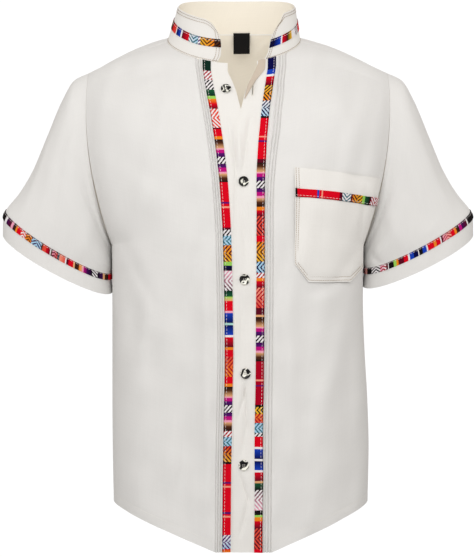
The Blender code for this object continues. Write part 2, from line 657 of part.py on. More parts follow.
def button(place, finish_material):
    """A round four-hole button with a raised rim and a dished middle, laid on its placket."""
    profile = [
        (0.0, 0.0),
        (BUTTON_FOOT_RADIUS, 0.0),
        (BUTTON_RADIUS, BUTTON_THICKNESS / 3),
        (BUTTON_RADIUS, BUTTON_THICKNESS - BUTTON_DISH),
        (BUTTON_RADIUS - BUTTON_RIM / 2, BUTTON_THICKNESS),
        (BUTTON_RADIUS - BUTTON_RIM, BUTTON_THICKNESS),
        (BUTTON_RADIUS - BUTTON_RIM * 2, BUTTON_THICKNESS - BUTTON_DISH),
        (0.0, BUTTON_THICKNESS - BUTTON_DISH),
    ]
    mesh_data = bmesh.new()
    line = [mesh_data.verts.new((radius, 0, height)) for radius, height in profile]
    edges = [mesh_data.edges.new(pair) for pair in zip(line, line[1:])]
    turned = line + edges
    bmesh.ops.spin(mesh_data, geom=turned, cent=(0, 0, 0), axis=(0, 0, 1), angle=2 * np.pi, steps=16)
    bmesh.ops.remove_doubles(mesh_data, verts=mesh_data.verts, dist=1e-6)
    made = finish(place.name, mesh_data, finish_material)
    # how the placket slopes at the button
    lift = 2 * SEAM + CLOTH + BUTTON_LIFT if place.over else SEAM + BUTTON_LIFT
    side = 1 if place.over else -1
    spot = front_at(np.array([[place.x] * 3]), place.height + np.array([[-0.002, 0, 0.002]]), side)[0]
    slope = np.arctan2(spot[2][1] - spot[0][1], spot[2][2] - spot[0][2])
    out = np.array([0, -np.cos(slope), np.sin(slope)])
    made.matrix_world = Matrix.Translation(spot[1] + out * lift) @ Matrix.Rotation(np.pi / 2 - slope, 4, "X")
    cutter = button_holes(made.matrix_world)
    cut = made.modifiers.new("holes", "BOOLEAN")
    cut.operation = "DIFFERENCE"
    cut.object = cutter
    return made


def button_holes(placed):
    """A hidden cutter of four pins."""
    mesh_data = bmesh.new()
    for k in range(4):
        angle = np.pi / 4 + k * np.pi / 2
        place = (BUTTON_HOLE_SPREAD * np.cos(angle), BUTTON_HOLE_SPREAD * np.sin(angle), BUTTON_THICKNESS / 2)
        bmesh.ops.create_cone(
            mesh_data, cap_ends=True, segments=6, radius1=BUTTON_HOLE_RADIUS, radius2=BUTTON_HOLE_RADIUS,
            depth=BUTTON_THICKNESS * 3, matrix=Matrix.Translation(place),
        )
    mesh = bpy.data.meshes.new("button_holes")
    mesh_data.to_mesh(mesh)
    mesh_data.free()
    cutter = bpy.data.objects.new("button_holes", mesh)
    cutter.matrix_world = placed
    cutter.hide_render = True
    cutter.display_type = "WIRE"
    bpy.context.collection.objects.link(cutter)
    return cutter


def label(finish_material):
    """The bare label, hung inside the back of the neck."""
    x = LABEL_X + LABEL_WIDTH * np.linspace(-0.5, 0.5, 3)
    height = np.linspace(LABEL_BOTTOM, LABEL_TOP, 4)
    grid_x, grid_z = np.meshgrid(x, height)
    seam = neckline(180 - neck_turn(grid_x))
    grid = np.stack([grid_x, seam[..., 1] - LABEL_STANDOFF, grid_z], axis=-1)
    layer("label", grid, normals(grid, 1), 0.0, TRIM_CLOTH, finish_material)


def main():
    for old in list(bpy.data.objects):
        bpy.data.objects.remove(old, do_unlink=True)
    cloth = material("cream_cloth", CREAM, 0.85)
    woven = material("woven_trim", TRIM_RED, 0.7)
    shell = material("dark_shell", SHELL, 0.2)
    black = material("black_label", BLACK, 0.6)
    back(cloth)
    for side in (-1, 1):
        front(side, cloth)
        sleeve(side, cloth, woven)
    plackets_and_front_trims(cloth, woven)
    collar(cloth, woven)
    pocket(cloth, woven)
    for place in BUTTONS:
        button(place, shell)
    label(black)


main()
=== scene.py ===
"""A guayabera shirt's looks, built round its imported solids: cloth, woven trims, stitching and shell buttons.

Metres, +Z up. +X is the viewer's right, -Y the front, and zero the centre of the neck's base. A side is -1
for the viewer's left and 1 for the viewer's right.
"""

from collections import namedtuple
from functools import lru_cache

import bpy
import numpy as np
from mathutils import Matrix, Vector

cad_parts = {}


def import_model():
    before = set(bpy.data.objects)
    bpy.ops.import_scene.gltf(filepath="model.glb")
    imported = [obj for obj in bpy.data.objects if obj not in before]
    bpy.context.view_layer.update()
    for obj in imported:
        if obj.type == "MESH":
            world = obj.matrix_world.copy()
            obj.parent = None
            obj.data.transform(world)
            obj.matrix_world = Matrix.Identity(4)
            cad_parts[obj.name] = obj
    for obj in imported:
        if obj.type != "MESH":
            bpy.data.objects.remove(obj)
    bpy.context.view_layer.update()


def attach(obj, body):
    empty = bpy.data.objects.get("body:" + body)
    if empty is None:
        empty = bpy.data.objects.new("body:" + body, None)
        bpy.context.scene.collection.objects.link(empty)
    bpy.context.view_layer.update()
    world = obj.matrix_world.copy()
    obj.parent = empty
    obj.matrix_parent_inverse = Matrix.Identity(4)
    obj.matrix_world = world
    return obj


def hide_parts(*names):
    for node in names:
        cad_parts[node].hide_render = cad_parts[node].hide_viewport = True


def entry(word):
    """A number, nothing for a lone dash, or else the word itself."""
    if word == "-":
        return None
    return word if word[0].isalpha() else float(word)


def table(fields, text):
    """A table kept as text: rows parted by commas, each with numbers and words in the order of the fields."""
    row = namedtuple("Row", fields)
    return [row(*map(entry, line.split())) for line in text.split(",")]


# Cloth thicknesses, and how far each layer lies out from the panel
CLOTH = 0.0009
HEM_CLOTH = 0.0016
TRIM_CLOTH = 0.0007
COLLAR_CLOTH = 0.0018
LABEL_CLOTH = 0.0006
SEAM = 0.0003
SIDE_SEAM = 0.00008
COLLAR_SEAM = 0.0005
SLEEVE_SEAM = 0.0002
POCKET_LIFT = 0.0010
BUTTONHOLE_PLACKET = (0.0003, 0.0011)
LEFT_TRIM_LIFT = 0.0003
RIGHT_TRIM_LIFT = 0.0017
POCKET_TRIM_LIFT = 0.0003

# The trunk: side seams at SEAM_Y, cross-sections between a circle and a box
SEAM_Y = 0.018
SECTION_POWER = 2.3
SHALLOW = 0.030
MOST_LEFT_OVER = 0.9
SIDES = table("height left right", """-.6825 .1870 .1950, -.6000 .1885 .1965, -.5300 .1890 .1945,
    -.4500 .1890 .1900, -.3800 .1890 .1878, -.3000 .1900 .1885""")

# The neckline: an ellipse that rises from the front to the back of the neck
NECK_X = -0.006
NECK_HALF_WIDTH = 0.0995
NECK_HALF_DEPTH = 0.065
NECK_MID_HEIGHT = -0.0055
NECK_RISE = 0.0285
NECK_SIDE_LIFT = 0.012

# The armhole, from the shoulder point to the underarm
SHOULDER_X = 0.224
SHOULDER_Z = -0.040
ARMPIT_Z = -0.300
ARMHOLE_DEPTH = 0.060
ARMHOLE_BOW = 0.0135

# Rows of the front and the back, up from the hem. The last three meet the neckline, from its corner up to
# the shoulder, and have no height of their own. Columns: height and depth at the middle, height at the side
# seam, turn round the armhole, the most that a row wraps round towards the side, and how far its middle is
# lifted.
ROWS = {
    "front": table("height depth seam turn wrap lift", """
        -.7456 -.112 -.6825 180 1 0, -.6000 -.119 -.6000 180 1 0, -.4700 -.124 -.4700 180 1 0,
        -.3700 -.128 -.3700 180 1 0, -.3000 -.130 -.3000 180 1 0, -.2300 -.128 -.3000 132 1 0,
        -.1650 -.120 -.3000 98 1 0, -.1050 -.103 -.3000 62 .94 0, - - -.3000 35 .88 .005,
        - - -.3000 17 .75 .007, - - -.3000 0 .60 0"""),
    "back": table("height depth seam turn wrap lift", """
        -.7456 .136 -.6825 180 1 0, -.6000 .141 -.6000 180 1 0, -.4700 .144 -.4700 180 1 0,
        -.3700 .149 -.3700 180 1 0, -.3000 .152 -.3000 180 1 0, -.2200 .153 -.3000 132 1 0,
        -.1500 .147 -.3000 98 1 0, -.0850 .130 -.3000 64 .96 0, -.0250 .101 -.3000 38 .92 .004,
        - - -.3000 24 .85 .007, - - -.3000 12 .75 .008, - - -.3000 0 .60 0"""),
}
CORNER_ROW = {face: len(rows) - 3 for face, rows in ROWS.items()}
BACK_CORNER_TURN = 145

# The front opening: middle lines of the front trims, and free edges of the two plackets, which part at the V
OPENING = table("height left_trim right_trim under_edge over_edge", """
    -.7456 -.0170 .0295 .0200 -.0075, -.6000 -.0155 .0300 .0210 -.0065, -.4500 -.0130 .0315 .0225 -.0055,
    -.3000 -.0155 .0325 .0235 -.0055, -.2200 -.0200 .0325 .0238 -.0055, -.1600 -.0265 .0350 .0240 -.0055,
    -.1300 -.0310 .0378 .0150 -.0052, -.1050 -.0350 .0402 .0043 .0043, -.0700 -.0410 .0450 -.0038 .0130,
    -.0350 -.0460 .0495 -.0152 .0278""")
TRIM_WIDTH = 0.012
PLACKET_STITCHED_COLUMNS = {"placket_button": 31, "placket_buttonhole": 2}

# The turned-back corner of the buttonhole placket: heights with the x of its free edge, and how it stands off
CORNER_EDGE = ((-0.0900, -0.0798, -0.0711, -0.0624, -0.0523, -0.0421, -0.0290),
               (0.0104, 0.0150, 0.0192, 0.0262, 0.0336, 0.0394, 0.0402))
CORNER_INSET = 0.0014
CORNER_LEAST_WIDTH = 0.0004
CORNER_LIFT = 0.0002
CORNER_ROLL = 0.0014
CORNER_STAND = 0.0004
CORNER_GRID = (26, 12)

# Pintucks: from the trim's middle to just past the last one, the place of each, and their shape; the
# viewer's right ones spread higher up
STRIP_WIDTH = {-1: 0.0153, 1: 0.0190}
TUCK_LINES = {-1: (0.0076, 0.0111, 0.0145), 1: (0.0081, 0.0124, 0.0166)}
TUCK_SPREAD = ((-0.240, -0.167, -0.137, -0.083, -0.060), (0.0, 0.0034, 0.0050, 0.0048, 0.0030))
TUCK_MARGIN = 0.0060
TUCK_CREST_HEIGHT = 0.0016
TUCK_RAMP = 0.0011
TUCK_DROP = 0.0006
TUCK_GROOVE = 0.0018
TUCK_GROOVE_PLACE = 2.2

# Folds and creases, placed one by one as soft troughs (below zero) and ridges, each from one point to another:
# x and height of both on the trunk, ring and turn of both on a sleeve
CREASE = "a1 b1 a2 b2 width depth"
CREASE_FADE = 0.7
CREASES = {
    "front": table(CREASE, """
        .166 -.375 .160 -.690 .016 -.0050, .128 -.420 .116 -.740 .022 .0035,
        -.172 -.330 -.140 -.450 .016 -.0035, -.120 -.430 -.098 -.730 .024 -.0035,
        -.155 -.480 -.148 -.710 .020 .0030, .209 -.080 .185 -.340 .0170 .0042,
        .210 -.200 .186 -.350 .0045 -.0040, .187 -.205 .170 -.318 .0050 -.0036,
        .172 -.300 .130 -.372 .0110 -.0035, .150 -.352 .100 -.372 .0100 -.0029,
        .074 -.330 .076 -.640 .0120 .0035, .052 -.395 .050 -.700 .0075 -.0019,
        .104 -.360 .098 -.560 .0150 -.0029, .098 -.070 .070 -.140 .0130 -.0022,
        .150 -.085 .165 -.165 .0140 .0021, -.207 -.080 -.183 -.340 .0180 .0045,
        -.176 -.285 -.118 -.395 .0100 -.0032, .150 -.197 .194 -.212 .0060 -.0022,
        -.047 -.290 -.042 -.740 .0100 .0050, -.078 -.330 -.074 -.735 .0190 -.0052,
        -.060 -.300 -.072 -.620 .0150 -.0026, -.135 -.330 -.140 -.540 .0120 .0029,
        -.086 -.470 -.078 -.715 .0110 -.0029, -.104 -.040 -.168 -.062 .0110 -.0032,
        -.062 -.066 -.052 -.170 .0065 -.0019, -.172 -.170 -.110 -.215 .0150 -.0021,
        .034 -.026 .018 -.092 .0042 -.0058, .024 -.034 .008 -.098 .0036 .0030,
        -.016 -.115 -.001 -.205 .0036 -.0034, .018 -.112 .007 -.200 .0038 -.0034,
        .001 -.130 .003 -.195 .0034 .0024, .003 -.228 .013 -.335 .0040 -.0024,
        .014 -.240 .018 -.320 .0034 -.0016, .003 -.370 .006 -.470 .0040 -.0016,
        .008 -.492 .013 -.572 .0028 -.0036, .014 -.494 -.001 -.556 .0026 -.0032,
        .002 -.628 .016 -.676 .0028 -.0034, .016 -.662 .002 -.726 .0030 -.0034,
        .012 -.560 .004 -.610 .0034 -.0018"""),
    "back": table(CREASE, """
        -.150 -.350 -.110 -.700 .022 -.0045, -.060 -.300 -.045 -.740 .026 .0040,
        .050 -.330 .062 -.740 .024 -.0040, .140 -.340 .125 -.700 .022 .0040,
        .205 -.150 .178 -.330 .0100 -.0054, -.204 -.165 -.176 -.320 .0095 -.0048,
        -.165 -.300 -.090 -.410 .0120 -.0035, .170 -.295 .105 -.385 .0110 -.0032,
        .100 -.060 .140 -.150 .0150 .0022, -.090 -.070 -.120 -.170 .0140 -.0022,
        .006 -.420 -.012 -.735 .0130 .0035, -.100 -.450 -.086 -.735 .0110 .0032,
        .096 -.430 .110 -.730 .0120 -.0032"""),
    -1: table(CREASE, """1.2 128 5.8 118 .0110 .0023, .8 60 4.6 78 .0130 -.0020, 2.4 30 5.8 46 .0110 .0018,
        5.9 100 8.3 92 .0120 -.0016, .8 215 5.4 228 .0110 -.0039, 1.0 282 5.8 268 .0140 -.0031,
        1.6 320 5.8 312 .0120 .0023"""),
    1: table(CREASE, """2.6 156 6.0 142 .0065 -.0024, .9 100 5.2 76 .0170 -.0039, 1.4 52 5.6 44 .0120 .0021,
        1.0 122 5.8 108 .0100 .0021, 6.0 70 8.3 78 .0120 -.0016, .8 220 5.6 236 .0120 -.0039,
        1.2 276 5.4 290 .0140 -.0029, 1.8 330 5.8 322 .0110 .0021"""),
}
# What one ring and one degree of turn measure on a sleeve, about
SLEEVE_UNITS = (0.026, 0.00135)

# The cloth lies a little uneven: waves per metre across and up, the place along them and the height
RIPPLES = table("across up start height", """12 6 .4 .00080, -17 7.5 1.7 .00062, 24 -5 2.9 .00046,
    8 -15 4.1 .00030, -31 9 5.3 .00028, 5 22 .9 .00016, -9 -11 3.3 .00040""")
# How near to a seam the folds and ripples begin to die away
SEAM_REACH = 0.012

# Seams dip, least at the shoulder and most under the arm, and hems are stitched down
NECK_DIP = 0.0013
SEAM_DIP_WIDTH = 0.0022
SEAM_DEPTHS = ((-0.400, -0.320, -0.285, -0.240, -0.200, -0.160, -0.100),
               (0.0005, 0.0012, 0.0028, 0.0016, 0.0008, 0.0004, 0.0))
SLEEVE_HEAD = (0.007, 0.004, -0.7)
HEM_DEPTH = 0.014
HEM_GROOVE = 0.00035
HEM_GROOVE_WIDTH = 0.0011

# The sleeves, ring by ring from the armhole to the hem: the outer end in the front view, the height of the
# inner end beside the trunk and its clearance there, half the depth, how far the middle bows outward and
# how far the front hangs lower
SLEEVE = table("top_x top_z bottom_z clear depth bow drop", f"""
    {SHOULDER_X} {SHOULDER_Z} {ARMPIT_Z} 0 {ARMHOLE_DEPTH} {ARMHOLE_BOW} 0,
    .2460 -.0510 -.3060 .0006 .0640 .0160 .001, .2640 -.0810 -.3140 .0006 .0670 .0140 .002,
    .2870 -.1360 -.3240 .0006 .0675 .0100 .004, .3090 -.1880 -.3330 .0008 .0650 .0060 .007,
    .3290 -.2210 -.3385 .0012 .0620 .0030 .010, .3480 -.2445 -.3440 .0017 .0590 0 .013,
    .3530 -.2560 -.3550 .0017 .0580 0 .014, .3535 -.2820 -.3750 .0006 .0570 0 .015""")
SLEEVE_HEM_RING = 6
SLEEVE_TRIM_RINGS = (6.12, 6.94)
SLEEVE_TRIM_LENGTH = 0.49
# The cuffs are drawn up under the arm, the viewer's right one more, and the sleeve's front keeps facing
# forward
CUFF_LIFT = {-1: 0.0034, 1: 0.0122}
CUFF_LIFT_RINGS = 6.0
CUFF_LIFT_POWER = 1.5
SLEEVE_SQUARED = 0.46
SLEEVE_SQUARED_RINGS = 4.0
LEAST_FORWARD = 0.02

# The standing collar, open in front with rounded ends; turns are degrees from the front of the neck
COLLAR_HEIGHT = 0.050
COLLAR_FRONT_EXTRA = 0.010
COLLAR_TOP_X = -0.002
COLLAR_TOP_HALF_WIDTH = 0.0878
COLLAR_TOP_HALF_DEPTH = 0.060
COLLAR_LEFT_TURN = 16
COLLAR_RIGHT_TURN = 27
COLLAR_END_RADIUS = 0.026
COLLAR_END_SPREAD = 0.090
COLLAR_CROWDING = 0.4
COLLAR_UP_POWER = 1.5
COLLAR_ROUNDING = 0.42
COLLAR_GROOVE = (0.0010, 0.0005)
COLLAR_STITCHED = (0.0022, 0.0060)
COLLAR_LINE_POINTS = 500
COLLAR_END_POINTS = 20
COLLAR_END_START = 0.001
COLLAR_TURN_STEP = 0.5
COLLAR_FOOT = 0.0016
COLLAR_FOOT_LIFT = 0.0001
COLLAR_TRIM_LENGTH = 0.46
COLLAR_TRIM_HEIGHTS = (0.0195, 0.0312)
COLLAR_TRIM_SHIFT = ((16, 45, 120, 240, 300, 333), (0.0022, 0.0, 0.0, 0.0, -0.0032, -0.0040))
# Its ends lean by height, shares of COLLAR_HEIGHT: degrees of turn, fading out round the neck
COLLAR_LEAN_SHARES = (0.0, 0.22, 0.44, 0.68, 0.85, 1.0, 1.2)
COLLAR_LEFT_LEAN = (-1.6, -3.9, -3.7, -2.2, -0.3, 0.8, 2.5)
COLLAR_RIGHT_LEAN = (0.0, 4.0, 5.7, 9.3, 13.5, 19.0, 20.0)
COLLAR_LEAN_REACH = 75

# The patch pocket on the viewer's right, with its corners cut across. Its cloth swells between its stitched
# edges, its header slopes out, and its lower right corner stands off a little.
POCKET_LEFT = 0.0812
POCKET_SIDE_MARGIN = 0.007
POCKET_TOP = (-0.1900, -0.2030)
POCKET_BOTTOM = -0.3550
POCKET_CUT_SHARE = (0.20, 0.80)
POCKET_CUT_HEIGHT = (0.026, 0.021)
POCKET_WIDTH = 0.13
POCKET_GRID = (41, 46)
POCKET_STITCHED = (0.0022, 0.0062)
POCKET_GROOVE_WIDTH = 0.0012
POCKET_GROOVES = (0.0009, 0.0008)
POCKET_STITCH_SINK = 0.0002
POCKET_LINE_POINTS = 40
POCKET_TRIM_MIDDLE = (-0.2265, -0.2360)
POCKET_TRIM_LENGTH = 0.12
POCKET_TRIM_DOWN = 0.2
POCKET_SWELL = 0.0016
POCKET_SWELL_REACH = 0.012
POCKET_HEADER = 0.0018
POCKET_HEADER_SHARES = (0.16, 0.3)
POCKET_GAPE = 0.0026
POCKET_GAPE_POWERS = (1.4, 4)

# Buttons, each at a place across and up the plackets; the first is undone. The profile is in radii and
# thicknesses.
BUTTON_RADIUS = 0.0075
BUTTON_FOOT = 0.0062 / BUTTON_RADIUS
BUTTON_THICKNESS = 0.0026
BUTTON_DISH = 0.0007 / BUTTON_THICKNESS
BUTTON_LIFT = 0.0001
BUTTON_HOLE_RADIUS = 0.0009
BUTTON_HOLE_SPREAD = 0.0016
BUTTON_PROFILE = ((0, 0), (BUTTON_FOOT, 0), (0.95, 0.18), (1, 0.45), (0.99, 0.75), (0.95, 0.95), (0.89, 1),
                  (0.82, 0.96), (0.76, 0.84), (0.66, 1 - BUTTON_DISH), (0, 1 - 1.1 * BUTTON_DISH))
BUTTON_AROUND = 64
BUTTON_THREAD_REACH = 0.00176
BUTTON_THREAD_ASIDE = 0.0012672
BUTTON_THREAD_APART = 0.0002
BUTTON_THREAD_HEIGHT = 0.0021
BUTTON_THREAD_SINK = 0.0009
BUTTON_THREAD_POINTS = 6
PIN_AROUND = 16
BUTTONS = table("name x height over", """button_1 -.0176 -.0742 0, button_2 .0082 -.2108 1,
    button_3 .0097 -.3513 1, button_4 .0109 -.4867 1, button_5 .0082 -.6191 1""")

# Buttonholes: the place of the open one, half the length, the spacing of the stitches, and the slit, a dark
# sliver of painted shade
OPEN_BUTTONHOLE = (0.0212, -0.0765)
BUTTONHOLE_HALF = 0.0085
BUTTONHOLE_PITCH = 0.00042
BUTTONHOLE_STITCH = (0.0011, 0.0009, 0.00005)
BUTTONHOLE_BAR = (0.002, 0.0001)
SLIT_HALF = (0.0004, 0.007)
SLIT_LIFTS = (-0.0002, 0.00025)

# The neck label, bare and hung from the back neck seam
LABEL_X = 0.0055
LABEL_WIDTH = 0.025
LABEL_TOP = 0.0255
LABEL_BOTTOM = -0.0065
LABEL_STANDOFF = 0.0029
LABEL_CURL = 0.0012
LABEL_CURL_SHIFT = 0.4
LABEL_HOLLOW = 0.0006
LABEL_GRID = (26, 34)

# How close together the points of the cloth are
GRAIN = 0.0042
TUCK_GRAIN = 0.00040
TOP_ROW_LENGTH = 0.072
NECK_ROW_LENGTH = 0.045
SIDE_COLUMNS = 66
BACK_MIDDLE_COLUMNS = 14
PLACKET_ACROSS = 34
SLEEVE_RINGS = 12
SLEEVE_AROUND = 132
COLLAR_AROUND = 260
COLLAR_UP = 22
TRIM_THREAD = 0.00062
TRIM_ACROSS = 20
FRONT_REACH = (-0.06, 0.225)
FRONT_LOOKUP = (400, 90)
OPENING_LOOKUP = 600
SECTION_LOOKUP = 400
SECTION_SQUASH = 0.8
STEP_ASIDE = 0.001
STEP_OF_ROW = 0.02
TINY = 1e-12
ROUNDING = 1e-6

# Stitches: their length, the gap between them and their thickness
Stitch = namedtuple("Stitch", "length gap thick")
SEAM_STITCH = Stitch(0.0022, 0.0009, 0.00042)
TRIM_STITCH = Stitch(0.0034, 0.0016, 0.00060)
SATIN_STITCH = Stitch(0.0017, 0.0, 0.00040)
EDGE_STITCH = Stitch(0.0026, 0.0005, 0.00075)
BUTTON_STITCH = Stitch(0.0034, 0.0005, 0.0004)
# Along a stitch: shares of its length with shares of its thickness, the turns of its four corners, and its
# rise
STITCH_SECTIONS = ((-0.5, 0.35), (-0.32, 1.0), (0.32, 1.0), (0.5, 0.35))
STITCH_TURNS = np.radians([45, 135, 225, 315])
STITCH_RISE = 0.2
# How far in from a trim's edge its stitching lies, as a share of its width
TRIM_INSET = 0.27
SLEEVE_TRIM_INSET = 0.16
SHORT_TRIM_INSET = 0.2

# The camera stands level in front of the shirt and its picture is PICTURE_HEIGHT high at the shirt's middle
# plane
CAMERA_PLACE = (-0.0015, -3.0, -0.350)
PICTURE_HEIGHT = 0.8355
SENSOR_MM = 36
FLOOR_HEIGHT = -1.10
FLOOR_RADIUS = 2.3
FLOOR_AROUND = 96

# Lights: place, size, strength and colour. The one inside the shirt has its own aim.
LIGHTS = table("name x y z size power red green blue", """key -.2 -2.4 .70 1.8 27.6 1 1 1,
    fill 1.6 -3.0 .4 2.2 9 1 1 1, left -2.6 -1.6 .6 2.0 15.5 1 .99 .98,
    right 2.6 -1.4 1.1 2.0 14.0 1 .97 .94, top 0 .3 2.2 2.0 1 1 1 1, rear .2 2.8 1.0 2.4 30 1 1 1,
    inside 0 -.02 -.12 .10 .105 1 .98 .95""")
AMBIENT = (0.49, 0.47, 0.448)
SURROUND_STRENGTH = 1.05
AIM = Vector((0.0, 0.0, -0.25))
INSIDE_AIM = Vector((0.0, 0.07, 0.03))

# Flat cuts: width, length and flat area of each piece of cloth, how it is held and what it rests on
CUTS = table("piece width length area held rests_on", """
    front_right_cloth .33 .78 .205 hung neck, front_left_cloth .33 .78 .205 hung neck,
    back_cloth .60 .80 .42 hung neck, sleeve_right_cloth .56 .24 .09 hung front_right_cloth,
    sleeve_left_cloth .56 .24 .09 hung front_left_cloth, collar_cloth .46 .06 .023 hung back_cloth,
    placket_button_cloth .040 .74 - hung front_right_cloth,
    placket_buttonhole_cloth .045 .74 - hung front_left_cloth,
    pocket_cloth .14 .17 .023 laid front_left_cloth,
    trim_front_right_woven .012 .74 - laid front_right_cloth,
    trim_front_left_woven .012 .74 - laid placket_buttonhole_cloth,
    trim_sleeve_right_woven .49 .010 - laid sleeve_right_cloth,
    trim_sleeve_left_woven .49 .010 - laid sleeve_left_cloth,
    trim_collar_woven .44 .012 - laid collar_cloth, trim_pocket_woven .15 .012 - laid pocket_cloth,
    label_cloth .025 .032 - hung collar_cloth""")

# Colours in sRGB, 0 to 255, and two pairs of linear greys
CLOTHS = {"cream_cloth_looks": (230, 229, 227), "double_cloth_looks": (237, 235, 231),
          # the facing is the inside beige darkened: painted shade on the turned-back corner
          "inside_cloth_looks": (240, 233, 219), "facing_cloth_painted_shade_looks": (204, 190, 173),
          # the slit is a dark brown sliver: painted shade in the cut
          "buttonhole_slit_shade": (72, 60, 46)}
THREADS = {"cream_thread": (238, 234, 226), "pale_trim_thread": (250, 232, 232),
           # the edge thread is real stitching, its dark brown partly painted shade along the collar's and
           # pocket's edges
           "edge_thread_darkened_as_shade": (152, 128, 96)}
# Button shell: black with near-white clouds, nacre brightened into painted reflections
SHELL_AND_REFLECTION_STOPS = ((0.46, (4, 4, 6)), (0.475, (110, 112, 100)), (0.49, (248, 248, 236)), (0.55, (255, 254, 244)),
               (0.575, (6, 6, 8)))
LABEL_BLACKS = ((0.002, 0.002, 0.002), (0.007, 0.006, 0.006))
FLOOR_GREYS = ((0.44, 0.44, 0.44), (0.48, 0.48, 0.48))
# The darkest and lightest that cloth and thread come, as shares of their colour, and the most of any part
CLOTH_TONES = (0.93, 1.06, 0.92)
THREAD_TONES = (0.8, 1.12, 0.95)
# The spacing of the threads in each weave, and how much thicker threads, patches and weave tell in its tone
CLOTH_WEAVE = 0.0008
TRIM_WEAVE = 0.0007
LABEL_WEAVE = 0.0005
SLUB_SCALES = ((14, 620, 1), (620, 14, 1))
SLUB_SHARE = 0.10
PATCH_SHARE = 0.05
WEAVE_SHARE = 0.015
TONE_GAIN = 3.0
# In the trims, how much the weave and the fibres tell in the threads' brightness, and the rest of it
TRIM_SHADES = (0.10, 0.35, 0.77)
# Noises: their scale, and their detail where it matters
PATCHES = (9.0, 3.0)
FIBRES = 900.0
TWISTS = (2600.0, 1.0)
CLOUDS = (64.0, 0.2)
CLOUD_DISTORTION = 1.3
RIBS = 700.0
FLOOR_PATCHES = 3.0
# Relief of each surface: its strength and its height
CLOTH_BUMP = (0.35, 0.00012)
TRIM_BUMP = (0.6, 0.00020)
THREAD_BUMP = (0.4, 0.0001)
LABEL_BUMP = (0.5, 0.0001)
COLOURS = {row.name: row[1:] for row in table("name red green blue", """black 22 17 20, brown 84 44 26,
    wine 96 12 34, red 226 5 32, crimson 178 3 36, coral 230 78 60, salmon 250 158 134, orange 245 138 36,
    yellow 240 186 52, peach 236 176 124, lime 158 216 96, green 28 92 58, forest 12 44 34,
    mint 176 222 212, sky 170 212 238, teal 44 110 124, blue 25 66 188, navy 9 10 72, violet 88 24 112,
    purple 62 14 82, magenta 196 22 128, pink 246 166 192, grey 120 116 128, white 244 240 242""")}
